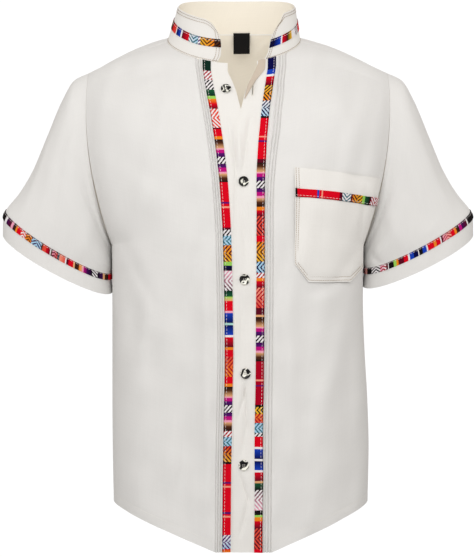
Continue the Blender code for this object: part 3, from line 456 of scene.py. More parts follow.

# The woven trims, charted band by band: each band has its pattern, colours and length in mm. Two colours alone
# fade into each other; a slant or a zigzag has its ground first and its figure last.
RAINBOW = """black brown 6, brown peach 8, pink 2, magenta 5, violet purple 5.5, slant white black 10.3,
    purple violet 5.7, magenta 5.8, pink 2.9, peach brown 6, brown black 6.5"""
RED_BLOCK = "red 28.5, violet 2.6, red 4, salmon 2.2, red 28.3"
RED_BACK = "red 28.5, salmon 2.2, red 4.5, violet 2.2, red 26"
CHARTS = {
    "front_right": f"""forest 19, slant white crimson 17, slant white black 18.5, green forest 11, lime 5.3,
        orange red 8.6, red wine 8.3, zigzag coral coral white 30, wine 1.6, red 10.8, orange 4.6,
        {RAINBOW}, {RED_BLOCK}, wine 3, slant white black 8.6, zigzag sky sky teal 13.6,
        zigzag orange yellow wine 23.7, lime 5.7, navy black 7.2, zigzag white white pink black 28.7,
        forest green 8.6, lime peach 5.8, red 14.4, pink 2.9, blue navy 14.4, mint 2.9, navy blue 14.4,
        white 2.9, red wine 14.4, orange 4.3, red 10, zigzag coral orange crimson 28.8, red 10, orange 4.3,
        {RAINBOW}, slant white crimson 8.7, zigzag sky sky teal 13, zigzag red yellow wine 23, black 2.9,
        red 26, violet 2.9, red 2.9, salmon 2.2, red 35.6, violet 2.9, red 2.9, salmon 2.2, red 25.4,
        zigzag white sky violet 20.4, red orange 5""",
    "front_left": f"""navy 22, blue 9.6, white 3.9, red wine 17.2, zigzag yellow orange black 27.5,
        zigzag white sky navy 24.6, black 3.2, {RED_BACK}, wine 5, {RAINBOW}, orange 5, red wine 7.6,
        zigzag coral coral wine 28.7, red 8.6, zigzag orange yellow brown 28.7, zigzag sky sky navy 15.8,
        slant white crimson 7.2, orange 4.3, red wine 10, zigzag salmon coral crimson 28.8, wine 10,
        peach 3, {RAINBOW}, crimson 26, salmon 2.2, crimson 5.8, violet 2.2, crimson 26, black 3,
        zigzag yellow yellow black 10, zigzag orange coral crimson 13, zigzag sky sky teal 14.5,
        slant white black 5.8, red 14.5, white 2.9, blue navy 14.5, white 2.9, navy blue 13, white 2.9,
        red wine 13, peach 2.9, green black 10.2, zigzag white white black pink 29, black 7.3, lime 2.9,
        orange 5.8, red wine 10.2, zigzag coral coral wine 30.5, red 5""",
    "sleeve_right": f"""red 24, black brown 9, peach 4, purple black 9.5, slant white black 9,
        black purple 8, purple magenta 6, pink 2.5, peach orange 4.5, brown black 7, peach 2.5, red 7.5,
        wine 3.5, white 2, coral salmon 9.5, slant grey black 3.5, zigzag coral pink wine 8.5, brown 1.7,
        white 1.7, wine red 7, coral 5.5, brown 2, zigzag sky sky purple 17.5,
        zigzag orange orange brown 11, zigzag coral coral white 9.5, red 7.5, orange 3.5, brown black 6,
        pink 5, wine purple 12, white 6, black 29, {RED_BLOCK}, {RAINBOW}, zigzag white sky navy 20,
        orange red 12, {RED_BLOCK}, wine 15""",
    "sleeve_left": f"""wine black 12.7, slant brown peach pink 12.4, black 11,
        zigzag white white black 15.3, zigzag pink white crimson 9.8, wine 2.6, white 1.7, black 7.7,
        lime 4.3, orange 3.4, wine 8.5, red 6.8, white 2.5, blue 6.8, navy 6.8, white 1.7, black 6, blue 6,
        white 2.6, red 9.7, orange 4.5, red 7.3, white 1.9, wine 2.8, zigzag pink salmon crimson 14.6,
        red 6.2, orange 4.3, brown black 5.6, magenta 6, purple wine 12, white 3, black 40, {RED_BLOCK},
        {RAINBOW}, zigzag white sky navy 20, orange red 12, {RED_BLOCK}, wine 15""",
    "collar": f"""slant brown black 9.7, zigzag orange yellow brown 22, slant white violet 3.8,
        zigzag sky white teal 16, red wine 14, white 3.4, blue navy 11, white 2, coral red 14, {RAINBOW},
        {RED_BLOCK}, lime 5, zigzag white sky navy 18, orange red 9, {RAINBOW}, zigzag coral coral wine 30,
        black 6, red 20, slant white brown 12, white 10, yellow black 10, wine red 11, white 2.8,
        blue navy 12, slant navy black 7""",
    "pocket": """black 2.9, red 28, blue 2.3, red 3.8, salmon 2.3, red 25.5, wine 5,
        zigzag white white teal 16, wine 2.8, zigzag orange yellow brown 18.5, lime 6, green black 8.5,
        wine 3, zigzag white white crimson 24""",
}
SLANT_PERIOD = 0.0066
SLANT_RISE = 0.0070
# Past this share across on its outer side a trim's threads are darkened: painted shade along the trim's edge
TRIM_EDGE_SHADE_START = 0.42
TRIM_EDGE_PAINTED_SHADE = 0.55
FIGURE_SHARE = 0.46


def smooth(keys, values, at):
    """A smooth curve through the values that never overshoots them."""
    keys, values = np.asarray(keys, float), np.asarray(values, float)
    at = np.clip(at, keys[0], keys[-1])
    step = np.diff(keys)
    rise = np.diff(values) / step
    before, after = rise[:-1], rise[1:]
    same_way = before * after > 0
    total = np.where(same_way, before + after, 1.0)
    slope = np.concatenate([rise[:1], np.where(same_way, 2 * before * after / total, 0.0), rise[-1:]])
    i = np.clip(np.searchsorted(keys, at, side="right") - 1, 0, len(step) - 1)
    t = (at - keys[i]) / step[i]
    ease = eased(t)
    start = t * (1 - t) ** 2 * step[i] * slope[i]
    end = t * t * (1 - t) * step[i] * slope[i + 1]
    return values[i] * (1 - ease) + values[i + 1] * ease + start - end


def eased(share):
    share = np.clip(share, 0, 1)
    return share * share * (3 - 2 * share)


def between(ends, share):
    return ends[0] + (ends[1] - ends[0]) * share


def unit(vectors):
    return vectors / np.maximum(np.linalg.norm(vectors, axis=-1, keepdims=True), TINY)


def column(rows, name):
    return [getattr(row, name) for row in rows]


def read(rows, name, height):
    """A column of a table whose rows are placed by height."""
    return smooth(column(rows, "height"), column(rows, name), height)


def by_row(rows, name, row):
    return smooth(range(len(rows)), column(rows, name), row)


def side_x(side, height):
    """The trunk's half-width on one side."""
    return read(SIDES, "left" if side < 0 else "right", height)


def trim_x(side, height):
    return read(OPENING, "left_trim" if side < 0 else "right_trim", height)


def neckline(turn):
    """A point of the neck seam, by its turn from the front towards the viewer's right."""
    angle = np.radians(turn)
    x = NECK_X + NECK_HALF_WIDTH * np.sin(angle)
    y = -NECK_HALF_DEPTH * np.cos(angle)
    z = NECK_MID_HEIGHT - NECK_RISE * np.cos(angle) + NECK_SIDE_LIFT * np.sin(angle) ** 2
    return np.stack([x, y, z], axis=-1)


def neck_turn(x):
    """The front half's turn at which the neck seam has this x."""
    return np.degrees(np.arcsin(np.clip((x - NECK_X) / NECK_HALF_WIDTH, -1, 1)))


def armhole(side, turn):
    """A point of the armhole seam: turn 0 at the shoulder, 90 in front, 180 under the arm, 270 behind."""
    angle = np.radians(turn)
    under = side_x(side, ARMPIT_Z)
    x = (SHOULDER_X + under) / 2 + (SHOULDER_X - under) / 2 * np.cos(angle) + ARMHOLE_BOW * np.sin(angle) ** 2
    y = SEAM_Y - ARMHOLE_DEPTH * np.sin(angle)
    z = (SHOULDER_Z + ARMPIT_Z) / 2 + (SHOULDER_Z - ARMPIT_Z) / 2 * np.cos(angle)
    return np.stack([side * x, y, z], axis=-1)


def corner_turn(face, side):
    """Where the neckline leaves the face's top row, in degrees from the front of the neck."""
    if face == "back":
        return side * BACK_CORNER_TURN
    return float(neck_turn(trim_x(side, OPENING[-1].height) + side * STRIP_WIDTH[side]))


def inner_line(face, side, row):
    """Where a face's rows start: at the pintucks or the spine, and from the corner on along the neckline."""
    corner_row = CORNER_ROW[face]
    corner = corner_turn(face, side)
    at_corner = neckline(corner)
    low = np.minimum(row, corner_row)
    y, z = (smooth(range(corner_row + 1), column(ROWS[face][:corner_row], name) + [at_corner[axis]], low)
            for name, axis in (("depth", 1), ("height", 2)))
    if face == "front":
        x = trim_x(side, z) + side * STRIP_WIDTH[side]
    else:
        x = at_corner[0] * np.clip(low - corner_row + 1, 0, 1)
    turn = corner + (side * 90 - corner) * np.clip(row - corner_row, 0, 2) / 2
    return np.where((row > corner_row)[..., None], neckline(turn), np.stack([x, y, z], axis=-1))


def outer_line(face, side, row):
    """Where a face's rows end, at the side seam and then round the armhole."""
    seam = by_row(ROWS[face], "seam", row)
    turn = by_row(ROWS[face], "turn", row)
    hole = armhole(side, turn if face == "front" else 360 - turn)
    trunk_side = np.stack([side * side_x(side, seam), np.full_like(seam, SEAM_Y), seam], axis=-1)
    point = np.where((turn < 180 - ROUNDING)[..., None], hole, trunk_side)
    point[..., 1] += SIDE_SEAM / 2 * (-1 if face == "front" else 1)
    return point


def creased(creases, first, second, units=(1, 1)):
    """How far creases push the cloth out or in, at places given in the creases' own two measures."""
    relief = np.zeros(np.broadcast_shapes(np.shape(first), np.shape(second)))
    for crease in creases:
        run = np.array([crease.a2 - crease.a1, crease.b2 - crease.b1]) * units
        length = np.hypot(*run)
        one, two = (first - crease.a1) * units[0], (second - crease.b1) * units[1]
        along = (one * run[0] + two * run[1]) / length**2
        aside = (one * run[1] - two * run[0]) / length
        fade = np.sin(np.pi * np.clip(along, 0, 1)) ** CREASE_FADE
        relief += crease.depth * fade * np.exp(-((aside / crease.width) ** 2))
    return relief


def section(share):
    """The depth left of a cross-section between a circle and a box, at a share of its half-width."""
    return (1 - share**SECTION_POWER) ** (1 / SECTION_POWER)


def trunk(face, side, x, row):
    """Points of the trunk's cloth, by x across and by row up from the hem."""
    rows, corner_row = ROWS[face], CORNER_ROW[face]
    start = inner_line(face, side, row)
    end = outer_line(face, side, row)
    # a row is as much of a whole section, which would reach SEAM_Y, as its outer end needs
    depth = SEAM_Y - start[..., 1]
    reached = (end[..., 1] - start[..., 1]) / np.where(depth == 0, 1, depth)
    left_over = np.where(np.abs(depth) > SHALLOW, np.clip(1 - reached, 0, MOST_LEFT_OVER), 0)
    wrap = np.minimum(section(left_over), by_row(rows, "wrap", row))
    share = np.clip((x - start[..., 0]) / (end[..., 0] - start[..., 0]), 0, 1)
    turned = (1 - section(wrap * share)) / (1 - section(wrap))
    y = start[..., 1] + (end[..., 1] - start[..., 1]) * turned
    z = start[..., 2] + (end[..., 2] - start[..., 2]) * share
    z = z + by_row(rows, "lift", row) * 4 * share * (1 - share)
    # inside the corner the top of the panel bends to follow the neckline
    bend = np.clip(row - corner_row + 1, 0, 1) ** 2 * (row <= corner_row) * (share <= 0)
    corner = neckline(corner_turn(face, side))
    seam = neckline(neck_turn(x) if face == "front" else 180 - neck_turn(x))
    y = y + bend * (seam[..., 1] - corner[1])
    z = z + bend * (seam[..., 2] - corner[2])
    # folds and ripples die away at the side seam, the armhole, the shoulder and the neckline
    by_neck = np.clip(row - corner_row + 1, 0, 1) * (1 - eased(side * (x - start[..., 0]) / SEAM_REACH))
    fade = eased(side * (end[..., 0] - x) / SEAM_REACH) * (1 - by_neck) * eased(len(rows) - 1 - row)
    relief = creased(CREASES[face], x, z)
    for ripple in RIPPLES:
        relief += ripple.height * np.sin(2 * np.pi * (ripple.across * x + ripple.up * z) + ripple.start)
    y = y + relief * fade * (-1 if face == "front" else 1)
    return np.stack(np.broadcast_arrays(x, y, z), axis=-1)


def normals(grid, facing, closed=False):
    """Unit normals of a grid of points; facing is 1 where rows up and columns to the right look outward."""
    if closed:
        across = np.roll(grid, -1, axis=1) - np.roll(grid, 1, axis=1)
    else:
        across = np.gradient(grid, axis=1)
    return unit(np.cross(across, np.gradient(grid, axis=0)) * facing)


def levelled(normal, rows=(), columns=(), axis=1):
    """The normals with one axis taken out along some edges, so that two walls meet squarely there."""
    normal = normal.copy()
    normal[list(rows), :, axis] = 0
    normal[:, list(columns), axis] = 0
    return unit(normal)


@lru_cache
def front_heights(side):
    """The heights of a front's rows along upright lines, to look rows up by place and height."""
    rows = np.linspace(0, CORNER_ROW["front"], FRONT_LOOKUP[0])
    columns = np.linspace(*sorted(side * reach for reach in FRONT_REACH), FRONT_LOOKUP[1])
    return rows, columns, trunk("front", side, columns[:, None], rows[None, :])[..., 2]


def front_frame(x, height, side=1):
    """Points of the front at given places, and the way out of the cloth there."""
    flat_x = np.ravel(x)
    rows, columns, heights = front_heights(side)
    spot = np.interp(flat_x, columns, np.arange(len(columns)))
    low = np.minimum(spot.astype(int), len(columns) - 2)
    part = (spot - low)[:, None]
    lines = heights[low] * (1 - part) + heights[low + 1] * part
    place = np.array([np.interp(level, line, rows) for level, line in zip(np.ravel(height), lines)])
    here, left, right, below, above = (
        trunk("front", side, flat_x + aside, np.clip(place + up, 0, rows[-1]))
        for aside, up in ((0, 0), (-STEP_ASIDE, 0), (STEP_ASIDE, 0), (0, -STEP_OF_ROW), (0, STEP_OF_ROW))
    )
    outward = unit(np.cross(right - left, above - below))
    return here.reshape(*np.shape(x), 3), outward.reshape(*np.shape(x), 3)


def run_lengths(grid, axis=0):
    """How far along one axis of a grid or line of points each point lies from the first."""
    step = np.linalg.norm(np.diff(grid, axis=axis), axis=-1)
    start = np.zeros_like(np.take(step, [0], axis=axis))
    return np.concatenate([start, np.cumsum(step, axis=axis)], axis=axis)


def along_line(at, run, line):
    """Points of a line, or its ways out, at given lengths along it."""
    return np.stack([np.interp(at, run, values) for values in line.T], axis=-1)


def groove(distance, middle, width, depth):
    return -depth * np.exp(-(((distance - middle) / width) ** 2))


def seam_depth(height):
    """How far the armhole and side seams sink in."""
    return np.interp(height, *SEAM_DEPTHS)


def wall_faces(cells, closed):
    """The faces of a wall with two skins, as vertex numbers and as numbers of places on the cloth."""
    rows, spans = cells.shape
    columns = spans if closed else spans + 1
    row, across = np.nonzero(cells)
    corners = [(row, across), (row, across + 1), (row + 1, across + 1), (row + 1, across)]
    skin = np.stack([r * columns + c % columns for r, c in corners], axis=1)
    where = np.stack([r * (spans + 1) + c for r, c in corners], axis=1)
    under = (rows + 1) * columns
    faces = [skin, skin[:, ::-1] + under]
    places = [where, where[:, ::-1]]
    padded = np.pad(cells, 1)
    if closed:
        padded[1:-1, 0] = cells[:, -1]
        padded[1:-1, -1] = cells[:, 0]
    for side, (down, right) in enumerate([(-1, 0), (0, 1), (1, 0), (0, -1)]):
        edge = ~padded[row + 1 + down, across + 1 + right]
        a, b = skin[edge, side], skin[edge, (side + 1) % 4]
        faces.append(np.stack([b, a, a + under, b + under], axis=1))
        a, b = where[edge, side], where[edge, (side + 1) % 4]
        places.append(np.stack([b, a, a, b], axis=1))
    return np.concatenate(faces), np.concatenate(places), len(skin)


def piece(name, points, faces, materials, places=None, place_table=None, slots=None, sharp=50):
    """An object with smooth faces, and a UV map in metres where places are given."""
    used, renumbered = np.unique(np.concatenate([np.ravel(face) for face in faces]), return_inverse=True)
    cuts = np.cumsum([len(face) for face in faces])[:-1]
    mesh = bpy.data.meshes.new(name)
    new_faces = [part.tolist() for part in np.split(renumbered.ravel(), cuts)]
    mesh.from_pydata(np.asarray(points, float)[used].tolist(), [], new_faces)
    if places is not None:
        layer = mesh.uv_layers.new(name="cloth")
        layer.uv.foreach_set("vector", place_table[np.concatenate(places)].astype(np.float32).ravel())
    for finish_material in materials:
        mesh.materials.append(finish_material)
    if slots is not None:
        mesh.polygons.foreach_set("material_index", slots)
    mesh.shade_smooth()
    mesh.set_sharp_from_angle(angle=np.radians(sharp))
    made = bpy.data.objects.new(name, mesh)
    bpy.context.scene.collection.objects.link(made)
    return made


def settle(made, node):
    """A piece is attached to the root, and stands for a node of the part, if one is named, which is hidden."""
    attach(made, "root")
    if node:
        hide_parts(node)


def wall(name, outer, inner, materials, cells=None, closed=False, is_node=True):
    """A thin closed wall of cloth; the second material, if any, is worn by its inside."""
    rows, columns = outer.shape[:2]
    if cells is None:
        cells = np.ones((rows - 1, columns if closed else columns - 1), bool)
    faces, places, skin = wall_faces(cells, closed)
    row, across = np.argwhere(cells)[cells.sum() // 2]
    here = outer[row, across]
    facing = np.cross(outer[row, across + 1] - here, outer[row + 1, across] - here)
    if np.dot(facing, here - inner[row, across]) < 0:
        faces, places = faces[:, ::-1], places[:, ::-1]
    slots = np.zeros(len(faces), np.int32)
    if len(materials) > 1:
        slots[skin : 2 * skin] = 1
    long = np.concatenate([outer, outer[:, :1]], axis=1) if closed else outer
    on_cloth = np.stack([run_lengths(long, 1), run_lengths(long)], axis=-1).reshape(-1, 2)
    points = np.concatenate([outer.reshape(-1, 3), inner.reshape(-1, 3)])
    made = piece(f"{name}_cloth", points, faces, materials, places, on_cloth, slots)
    settle(made, name if is_node else None)


def stitching(name, lines, stitch, thread):
    """Stitches along lines of points, each with the way out of its cloth, as one piece."""
    points = []
    for line, out in lines:
        run = run_lengths(line)
        pitch = stitch.length + stitch.gap
        middles = np.arange(pitch / 2, run[-1], pitch)
        first, last = (along_line(middles + end * stitch.length, run, line) for end in (-0.5, 0.5))
        along = last - first
        normal = along_line(middles, run, out)
        lean = (normal * along).sum(axis=1) / np.maximum((along * along).sum(axis=1), TINY)
        normal = unit(normal - along * lean[:, None])
        aside = unit(np.cross(along, normal))
        centre = (first + last) / 2 + normal * stitch.thick * STITCH_RISE
        ring = [(aside * np.cos(turn) + normal * np.sin(turn)) * stitch.thick / 2 for turn in STITCH_TURNS]
        blocks = [centre + along * share + corner * bulk
                  for share, bulk in STITCH_SECTIONS for corner in ring]
        points.append(np.stack(blocks, axis=1).reshape(-1, 3))
    points = np.concatenate(points)
    block = [[s + r, s + (r + 1) % 4, s + (r + 1) % 4 + 4, s + r + 4] for s in (0, 4, 8) for r in range(4)]
    block += [[0, 3, 2, 1], [12, 13, 14, 15]]
    faces = (np.array(block) + np.arange(0, len(points), 16)[:, None, None]).reshape(-1, 4)
    settle(piece(name, points, faces, [thread], sharp=80), None)


def fine_rows(face):
    """Row numbers from the hem to the shoulder, about as far apart as the cloth's grain."""
    heights = column(ROWS[face], "height")
    rows = []
    for row in range(len(heights) - 1):
        if row >= CORNER_ROW[face]:
            length = NECK_ROW_LENGTH
        elif heights[row + 1] is None:
            length = TOP_ROW_LENGTH
        else:
            length = heights[row + 1] - heights[row]
        count = max(4, int(round(length / GRAIN)))
        rows.extend(row + np.arange(count) / count)
    return np.array(rows + [len(heights) - 1.0])


def side_shares():
    """Shares of the way out to the side seam, closer together where the section turns back."""
    turned = np.linspace(0, 1, SECTION_LOOKUP)
    steps = np.hypot(np.diff(turned), SECTION_SQUASH * np.diff(1 - section(turned)))
    run = np.concatenate([[0], np.cumsum(steps)])
    return np.interp(np.linspace(0, run[-1], SIDE_COLUMNS + 1)[1:], run, turned)


def panel(name, grid, normal, relief, materials, cells, both_sides=False):
    """A panel of the trunk with a turned hem, dipped at its seams, and its hem stitching."""
    up, across = run_lengths(grid), run_lengths(grid, 1)
    deep = seam_depth(grid[:, -1, 2])[:, None]
    relief = relief + groove(up, HEM_DEPTH, HEM_GROOVE_WIDTH, HEM_GROOVE)
    relief = relief + groove(across[:, -1:] - across, 0, SEAM_DIP_WIDTH, deep)
    relief = relief + groove(run_lengths(grid[::-1])[::-1], 0, SEAM_DIP_WIDTH, NECK_DIP)
    if both_sides:
        relief = relief + groove(across, 0, SEAM_DIP_WIDTH, deep)
    thickness = np.where(up < HEM_DEPTH, HEM_CLOTH, CLOTH)
    outer = grid + normal * relief[..., None]
    inner = grid + normal * (np.minimum(relief, 0) - thickness)[..., None]
    wall(name, outer, inner, materials, cells)
    line = np.array([along_line(HEM_DEPTH, up[:, k], outer[:, k]) for k in range(up.shape[1])])
    out = normal[np.argmin(np.abs(up[:, up.shape[1] // 2] - HEM_DEPTH))]
    stitching(f"{name}_hem_stitches", [(line, out)], SEAM_STITCH, THREAD)


def tuck_relief(side, grid):
    """The height of the pintucks, small pressed folds that fall off steeply away from the trim."""
    height = grid[..., 2]
    offset = side * (grid[..., 0] - trim_x(side, height))
    if side > 0:
        offset = offset - smooth(*TUCK_SPREAD, height)
    relief = np.zeros_like(offset)
    for line in TUCK_LINES[side]:
        past = offset - line
        relief += TUCK_CREST_HEIGHT * np.exp(-((past / np.where(past < 0, TUCK_RAMP, TUCK_DROP)) ** 2))
        relief += groove(past, TUCK_GROOVE_PLACE * TUCK_DROP, TUCK_DROP, TUCK_GROOVE)
    return relief


def front(side, materials):
    """One front in cloth, with three pintucks beside the opening and its hem stitching."""
    strip_end = STRIP_WIDTH[side]
    edge = SEAM / 2 if side < 0 else -TRIM_WIDTH / 2
    last = int(round((strip_end - edge) / TUCK_GRAIN))
    rows = fine_rows("front")
    start = inner_line("front", side, rows)[:, :1]
    end = outer_line("front", side, rows)[:, :1]
    strip = start + side * (np.linspace(edge, strip_end, last + 1) - strip_end)
    margin = start + side * np.arange(TUCK_GRAIN, TUCK_MARGIN, TUCK_GRAIN)
    main = margin[:, -1:] + (end - margin[:, -1:]) * side_shares()
    grid = trunk("front", side, np.concatenate([strip, margin, main], axis=1), rows[:, None])
    above = rows > CORNER_ROW["front"]
    corner = np.flatnonzero(above)[0] - 1
    grid[above, :last] = grid[above, last][:, None]
    grid[-1, :, 1] -= SEAM / 2
    normal = normals(grid, side)
    normal[corner, : last + 1] = normals(grid[: corner + 1], side)[corner, : last + 1]
    normal[above, last] = normals(grid[:, last:], side)[above, 0]
    normal[above, :last] = normal[above, last][:, None]
    cells = np.ones((len(rows) - 1, grid.shape[1] - 1), bool)
    cells[corner:, :last] = False
    relief = tuck_relief(side, grid)
    relief[above, :last] = relief[above, last][:, None]
    name = "front_right" if side < 0 else "front_left"
    panel(name, grid, levelled(normal, rows=[-1], columns=[-1]), relief, materials, cells)


def back(materials):
    """The back in one piece, with its hem stitching."""
    rows = fine_rows("back")
    above = rows > CORNER_ROW["back"]
    corner = np.flatnonzero(above)[0] - 1
    middle_shares = np.linspace(0, 1, BACK_MIDDLE_COLUMNS + 1)
    halves = []
    for side in (-1, 1):
        start = inner_line("back", side, rows)[:, 0]
        end = outer_line("back", side, rows)[:, :1]
        middle = np.tile(neckline(corner_turn("back", side))[0] * middle_shares, (len(rows), 1))
        middle[above] = np.where(middle_shares < 1, 0, start[above][:, None])
        main = middle[:, -1:] + (end - middle[:, -1:]) * side_shares()
        halves.append(trunk("back", side, np.concatenate([middle, main], axis=1), rows[:, None]))
    grid = np.concatenate([halves[0][:, :0:-1], halves[1]], axis=1)
    grid[-1, :, 1] += SEAM / 2
    normal = normals(grid, -1)
    centre = halves[0].shape[1] - 1
    left, right = centre - BACK_MIDDLE_COLUMNS, centre + BACK_MIDDLE_COLUMNS
    normal[corner, left : right + 1] = normals(grid[: corner + 1], -1)[corner, left : right + 1]
    normal[above, left] = normals(grid[:, : left + 1], -1)[above, -1]
    normal[above, right] = normals(grid[:, right:], -1)[above, 0]
    cells = np.ones((len(rows) - 1, grid.shape[1] - 1), bool)
    cells[corner:, left:right] = False
    normal = levelled(normal, rows=[-1], columns=[0, -1])
    panel("back", grid, normal, np.zeros(grid.shape[:2]), materials, cells, both_sides=True)


def opening_grid(side, edges, across, spacing):
    """Points between two edges down the front opening, evenly spaced up it, and the way out of them."""
    rows = np.linspace(0, CORNER_ROW["front"], OPENING_LOOKUP)
    levels = inner_line("front", 1, rows)[:, 2]
    height = levels[-1] - levels[0]
    heights = np.linspace(levels[0], levels[-1], int(round(height / spacing)) + 1)
    low, high = (edge(heights)[:, None] for edge in edges)
    x = low + (high - low) * np.linspace(0, 1, across)
    grid = trunk("front", side, x, np.interp(heights, levels, rows)[:, None])
    return grid, normals(grid, 1)


def placket(name, side, edges, lift, thickness, materials):
    """One placket, with a stitched line just inside its edge."""
    grid, out = opening_grid(side, edges, PLACKET_ACROSS, GRAIN)
    top = grid + out * (lift + thickness)
    wall(name, top, grid + out * lift, materials)
    stitched = PLACKET_STITCHED_COLUMNS[name]
    stitching(f"{name}_stitches", [(top[:, stitched], out[:, stitched])], SEAM_STITCH, THREAD)


def turned_corner(materials):
    """The top corner of the buttonhole placket, turned back at the opening so that its facing shows, its beige
    darkened as painted shade.
    """
    heights = np.linspace(CORNER_EDGE[0][0], CORNER_EDGE[0][-1], CORNER_GRID[0])[:, None]
    share = np.linspace(0, 1, CORNER_GRID[1])
    left = read(OPENING, "over_edge", heights) + CORNER_INSET
    x = left + np.maximum(smooth(*CORNER_EDGE, heights) - left, CORNER_LEAST_WIDTH) * share
    grid, out = front_frame(x, np.broadcast_to(heights, x.shape))
    lift = sum(BUTTONHOLE_PLACKET) + CORNER_LIFT
    lift = lift + CORNER_ROLL * np.sin(np.pi * share) + CORNER_STAND * share**3
    inner = grid + out * lift[:, None]
    wall("placket_corner", inner + out * CLOTH, inner, materials, is_node=False)


def linear(colour):
    """The linear value of an sRGB colour, 0 to 255."""
    share = np.asarray(colour, float) / 255
    return np.where(share <= 0.04045, share / 12.92, ((share + 0.055) / 1.055) ** 2.4)


def bands_of(chart):
    """A chart's bands, as pattern, colours and length."""
    bands = []
    for words in (band.split() for band in chart.split(",")):
        kind = words[0] if words[0] in ("slant", "zigzag") else "plain"
        names = words[:-1] if kind == "plain" else words[1:-1]
        bands.append((kind, [linear(COLOURS[name]) for name in names], float(words[-1])))
    return bands


def faded(shades, share):
    return shades[0] * (1 - share) + shades[-1] * share


def woven_colours(chart, along, across, length, outer_side):
    """The colour of each thread of a trim: along in metres from its start, across from -0.5 to 0.5."""
    bands = bands_of(chart)
    ends = np.cumsum([band[2] for band in bands])
    ends = ends / ends[-1] * length
    colour = np.zeros(along.shape + (3,))
    for (kind, shades, _), start, end in zip(bands, [0, *ends], ends):
        share = ((along - start) / (end - start))[:, None]
        made = faded(shades, share)
        if kind != "plain":
            cut = 2 if len(shades) > 2 else 1
            lean = 1.0 if kind == "slant" else np.where(share[:, 0] < 0.5, 1.0, -1.0)
            phase = (along - start + lean * across * 2 * SLANT_RISE) / SLANT_PERIOD
            on_figure = (phase - np.floor(phase) < FIGURE_SHARE)[:, None]
            made = np.where(on_figure, faded(shades[cut:], share), faded(shades[:cut], share))
        colour = np.where(((along >= start) & (along <= end))[:, None], made, colour)
    # threads near the outer edge are darkened by a share: painted shade along the trim's edge
    return colour * np.where(across * outer_side > TRIM_EDGE_SHADE_START, TRIM_EDGE_PAINTED_SHADE, 1.0)[:, None]


def trim(name, top, out, outer_side, closed=False, inset=TRIM_INSET):
    """A woven trim: its face a grid of threads, each in its own colour, over a plain underside."""
    rows, columns = top.shape[:2]
    count = rows if closed else rows - 1
    run = run_lengths(np.concatenate([top, top[:1]])[:, columns // 2])
    row, across = (part.ravel() for part in np.mgrid[:count, : columns - 1])
    corners = ((row, across), (row, across + 1), (row + 1, across + 1), (row + 1, across))
    # the underside has two points a row and is joined to the face along both edges
    edge = np.arange(count)
    after = (edge + 1) % rows
    under, under_after = (rows * columns + 2 * place for place in (edge, after))
    left, left_after = edge * columns, after * columns
    right, right_after = left + columns - 1, left_after + columns - 1
    sides = [(left, under, under_after, left_after), (right_after, under_after + 1, under + 1, right),
             (under, under_after, under_after + 1, under + 1)]
    faces = [*np.stack([r % rows * columns + c for r, c in corners], axis=1)]
    places = [*np.stack([r * columns + c for r, c in corners], axis=1)]
    for side in sides:
        faces += [*np.stack(side, axis=1)]
        places += [*np.stack([left] * 4, axis=1)]
    if not closed:
        last = rows * columns + 2 * (rows - 1)
        faces.append([rows * columns, rows * columns + 1, *range(columns - 1, -1, -1)])
        faces.append([last + 1, last, *range((rows - 1) * columns, rows * columns)])
        places += [np.zeros(columns + 2, int)] * 2
    middle = rows // 2
    here = top[middle, 0]
    if np.dot(np.cross(top[middle, 1] - here, top[middle + 1, 0] - here), out[middle, 0]) < 0:
        faces, places = ([part[::-1] for part in parts] for parts in (faces, places))
    points = np.concatenate([top.reshape(-1, 3), (top - out * TRIM_CLOTH)[:, [0, -1]].reshape(-1, 3)])
    on_cloth = np.broadcast_arrays(np.linspace(0, TRIM_WIDTH, columns), run[:, None])
    made = piece(f"trim_{name}_woven", points, faces, [WOVEN], places, np.stack(on_cloth, -1).reshape(-1, 2),
                 sharp=60)
    along = np.concatenate([run[row], np.tile(run[:count], 3)]) + TRIM_THREAD / 2
    sideways = np.concatenate([(across + 0.5) / (columns - 1) - 0.5, np.repeat([-0.5, 0.5, 0.0], count)])
    colours = woven_colours(CHARTS[name], along, sideways, run[count], outer_side)
    by_corner = [np.repeat(colours, 4, axis=0)]
    if not closed:
        by_corner += [np.tile(colours[end], (columns + 2, 1)) for end in (0, len(row) - 1)]
    layer = made.data.color_attributes.new("thread", "FLOAT_COLOR", "CORNER")
    layer.data.foreach_set("color", np.insert(np.concatenate(by_corner), 3, 1, axis=1).ravel())
    settle(made, f"trim_{name}")
    at = int(round((0.5 + outer_side * (0.5 - inset)) * (columns - 1)))
    line, way = (np.concatenate([grid[:, at], grid[: int(closed), at]]) for grid in (top, out))
    stitching(f"trim_{name}_woven_stitches", [(line, way)], TRIM_STITCH, TRIM_THREAD_LOOK)


def front_trims():
    """The trims down the front, one beside each placket."""
    for side, name, lift in ((-1, "front_right", LEFT_TRIM_LIFT), (1, "front_left", RIGHT_TRIM_LIFT)):
        edges = [lambda z, half=half: trim_x(side, z) + half for half in (-TRIM_WIDTH / 2, TRIM_WIDTH / 2)]
        grid, out = opening_grid(side, edges, TRIM_ACROSS + 1, TRIM_THREAD)
        trim(name, (grid + out * (lift + TRIM_CLOTH))[::-1], out[::-1], side)


def sleeve_surface(side, ring, turn):
    """Points of the sleeve, by ring from the armhole and by turn: 0 outer, 90 in front, 180 by the trunk."""
    measures = [by_row(SLEEVE, name, ring) for name in SLEEVE[0]._fields]
    top_x, top_z, bottom_z, clear, depth, bow, drop = measures
    bottom_x = side_x(side, bottom_z) + clear
    sine, cosine = np.sin(np.radians(turn)), np.cos(np.radians(turn))
    long = np.hypot(top_x - bottom_x, top_z - bottom_z)
    x = (top_x + bottom_x) / 2 + (top_x - bottom_x) / 2 * cosine + bow * sine**2 + SLEEVE_SEAM
    z = (top_z + bottom_z) / 2 + (top_z - bottom_z) / 2 * cosine
    x = x + drop * sine * (top_z - bottom_z) / long
    z = z - drop * sine * (top_x - bottom_x) / long
    return np.stack([side * x, SEAM_Y - depth * sine, z], axis=-1)


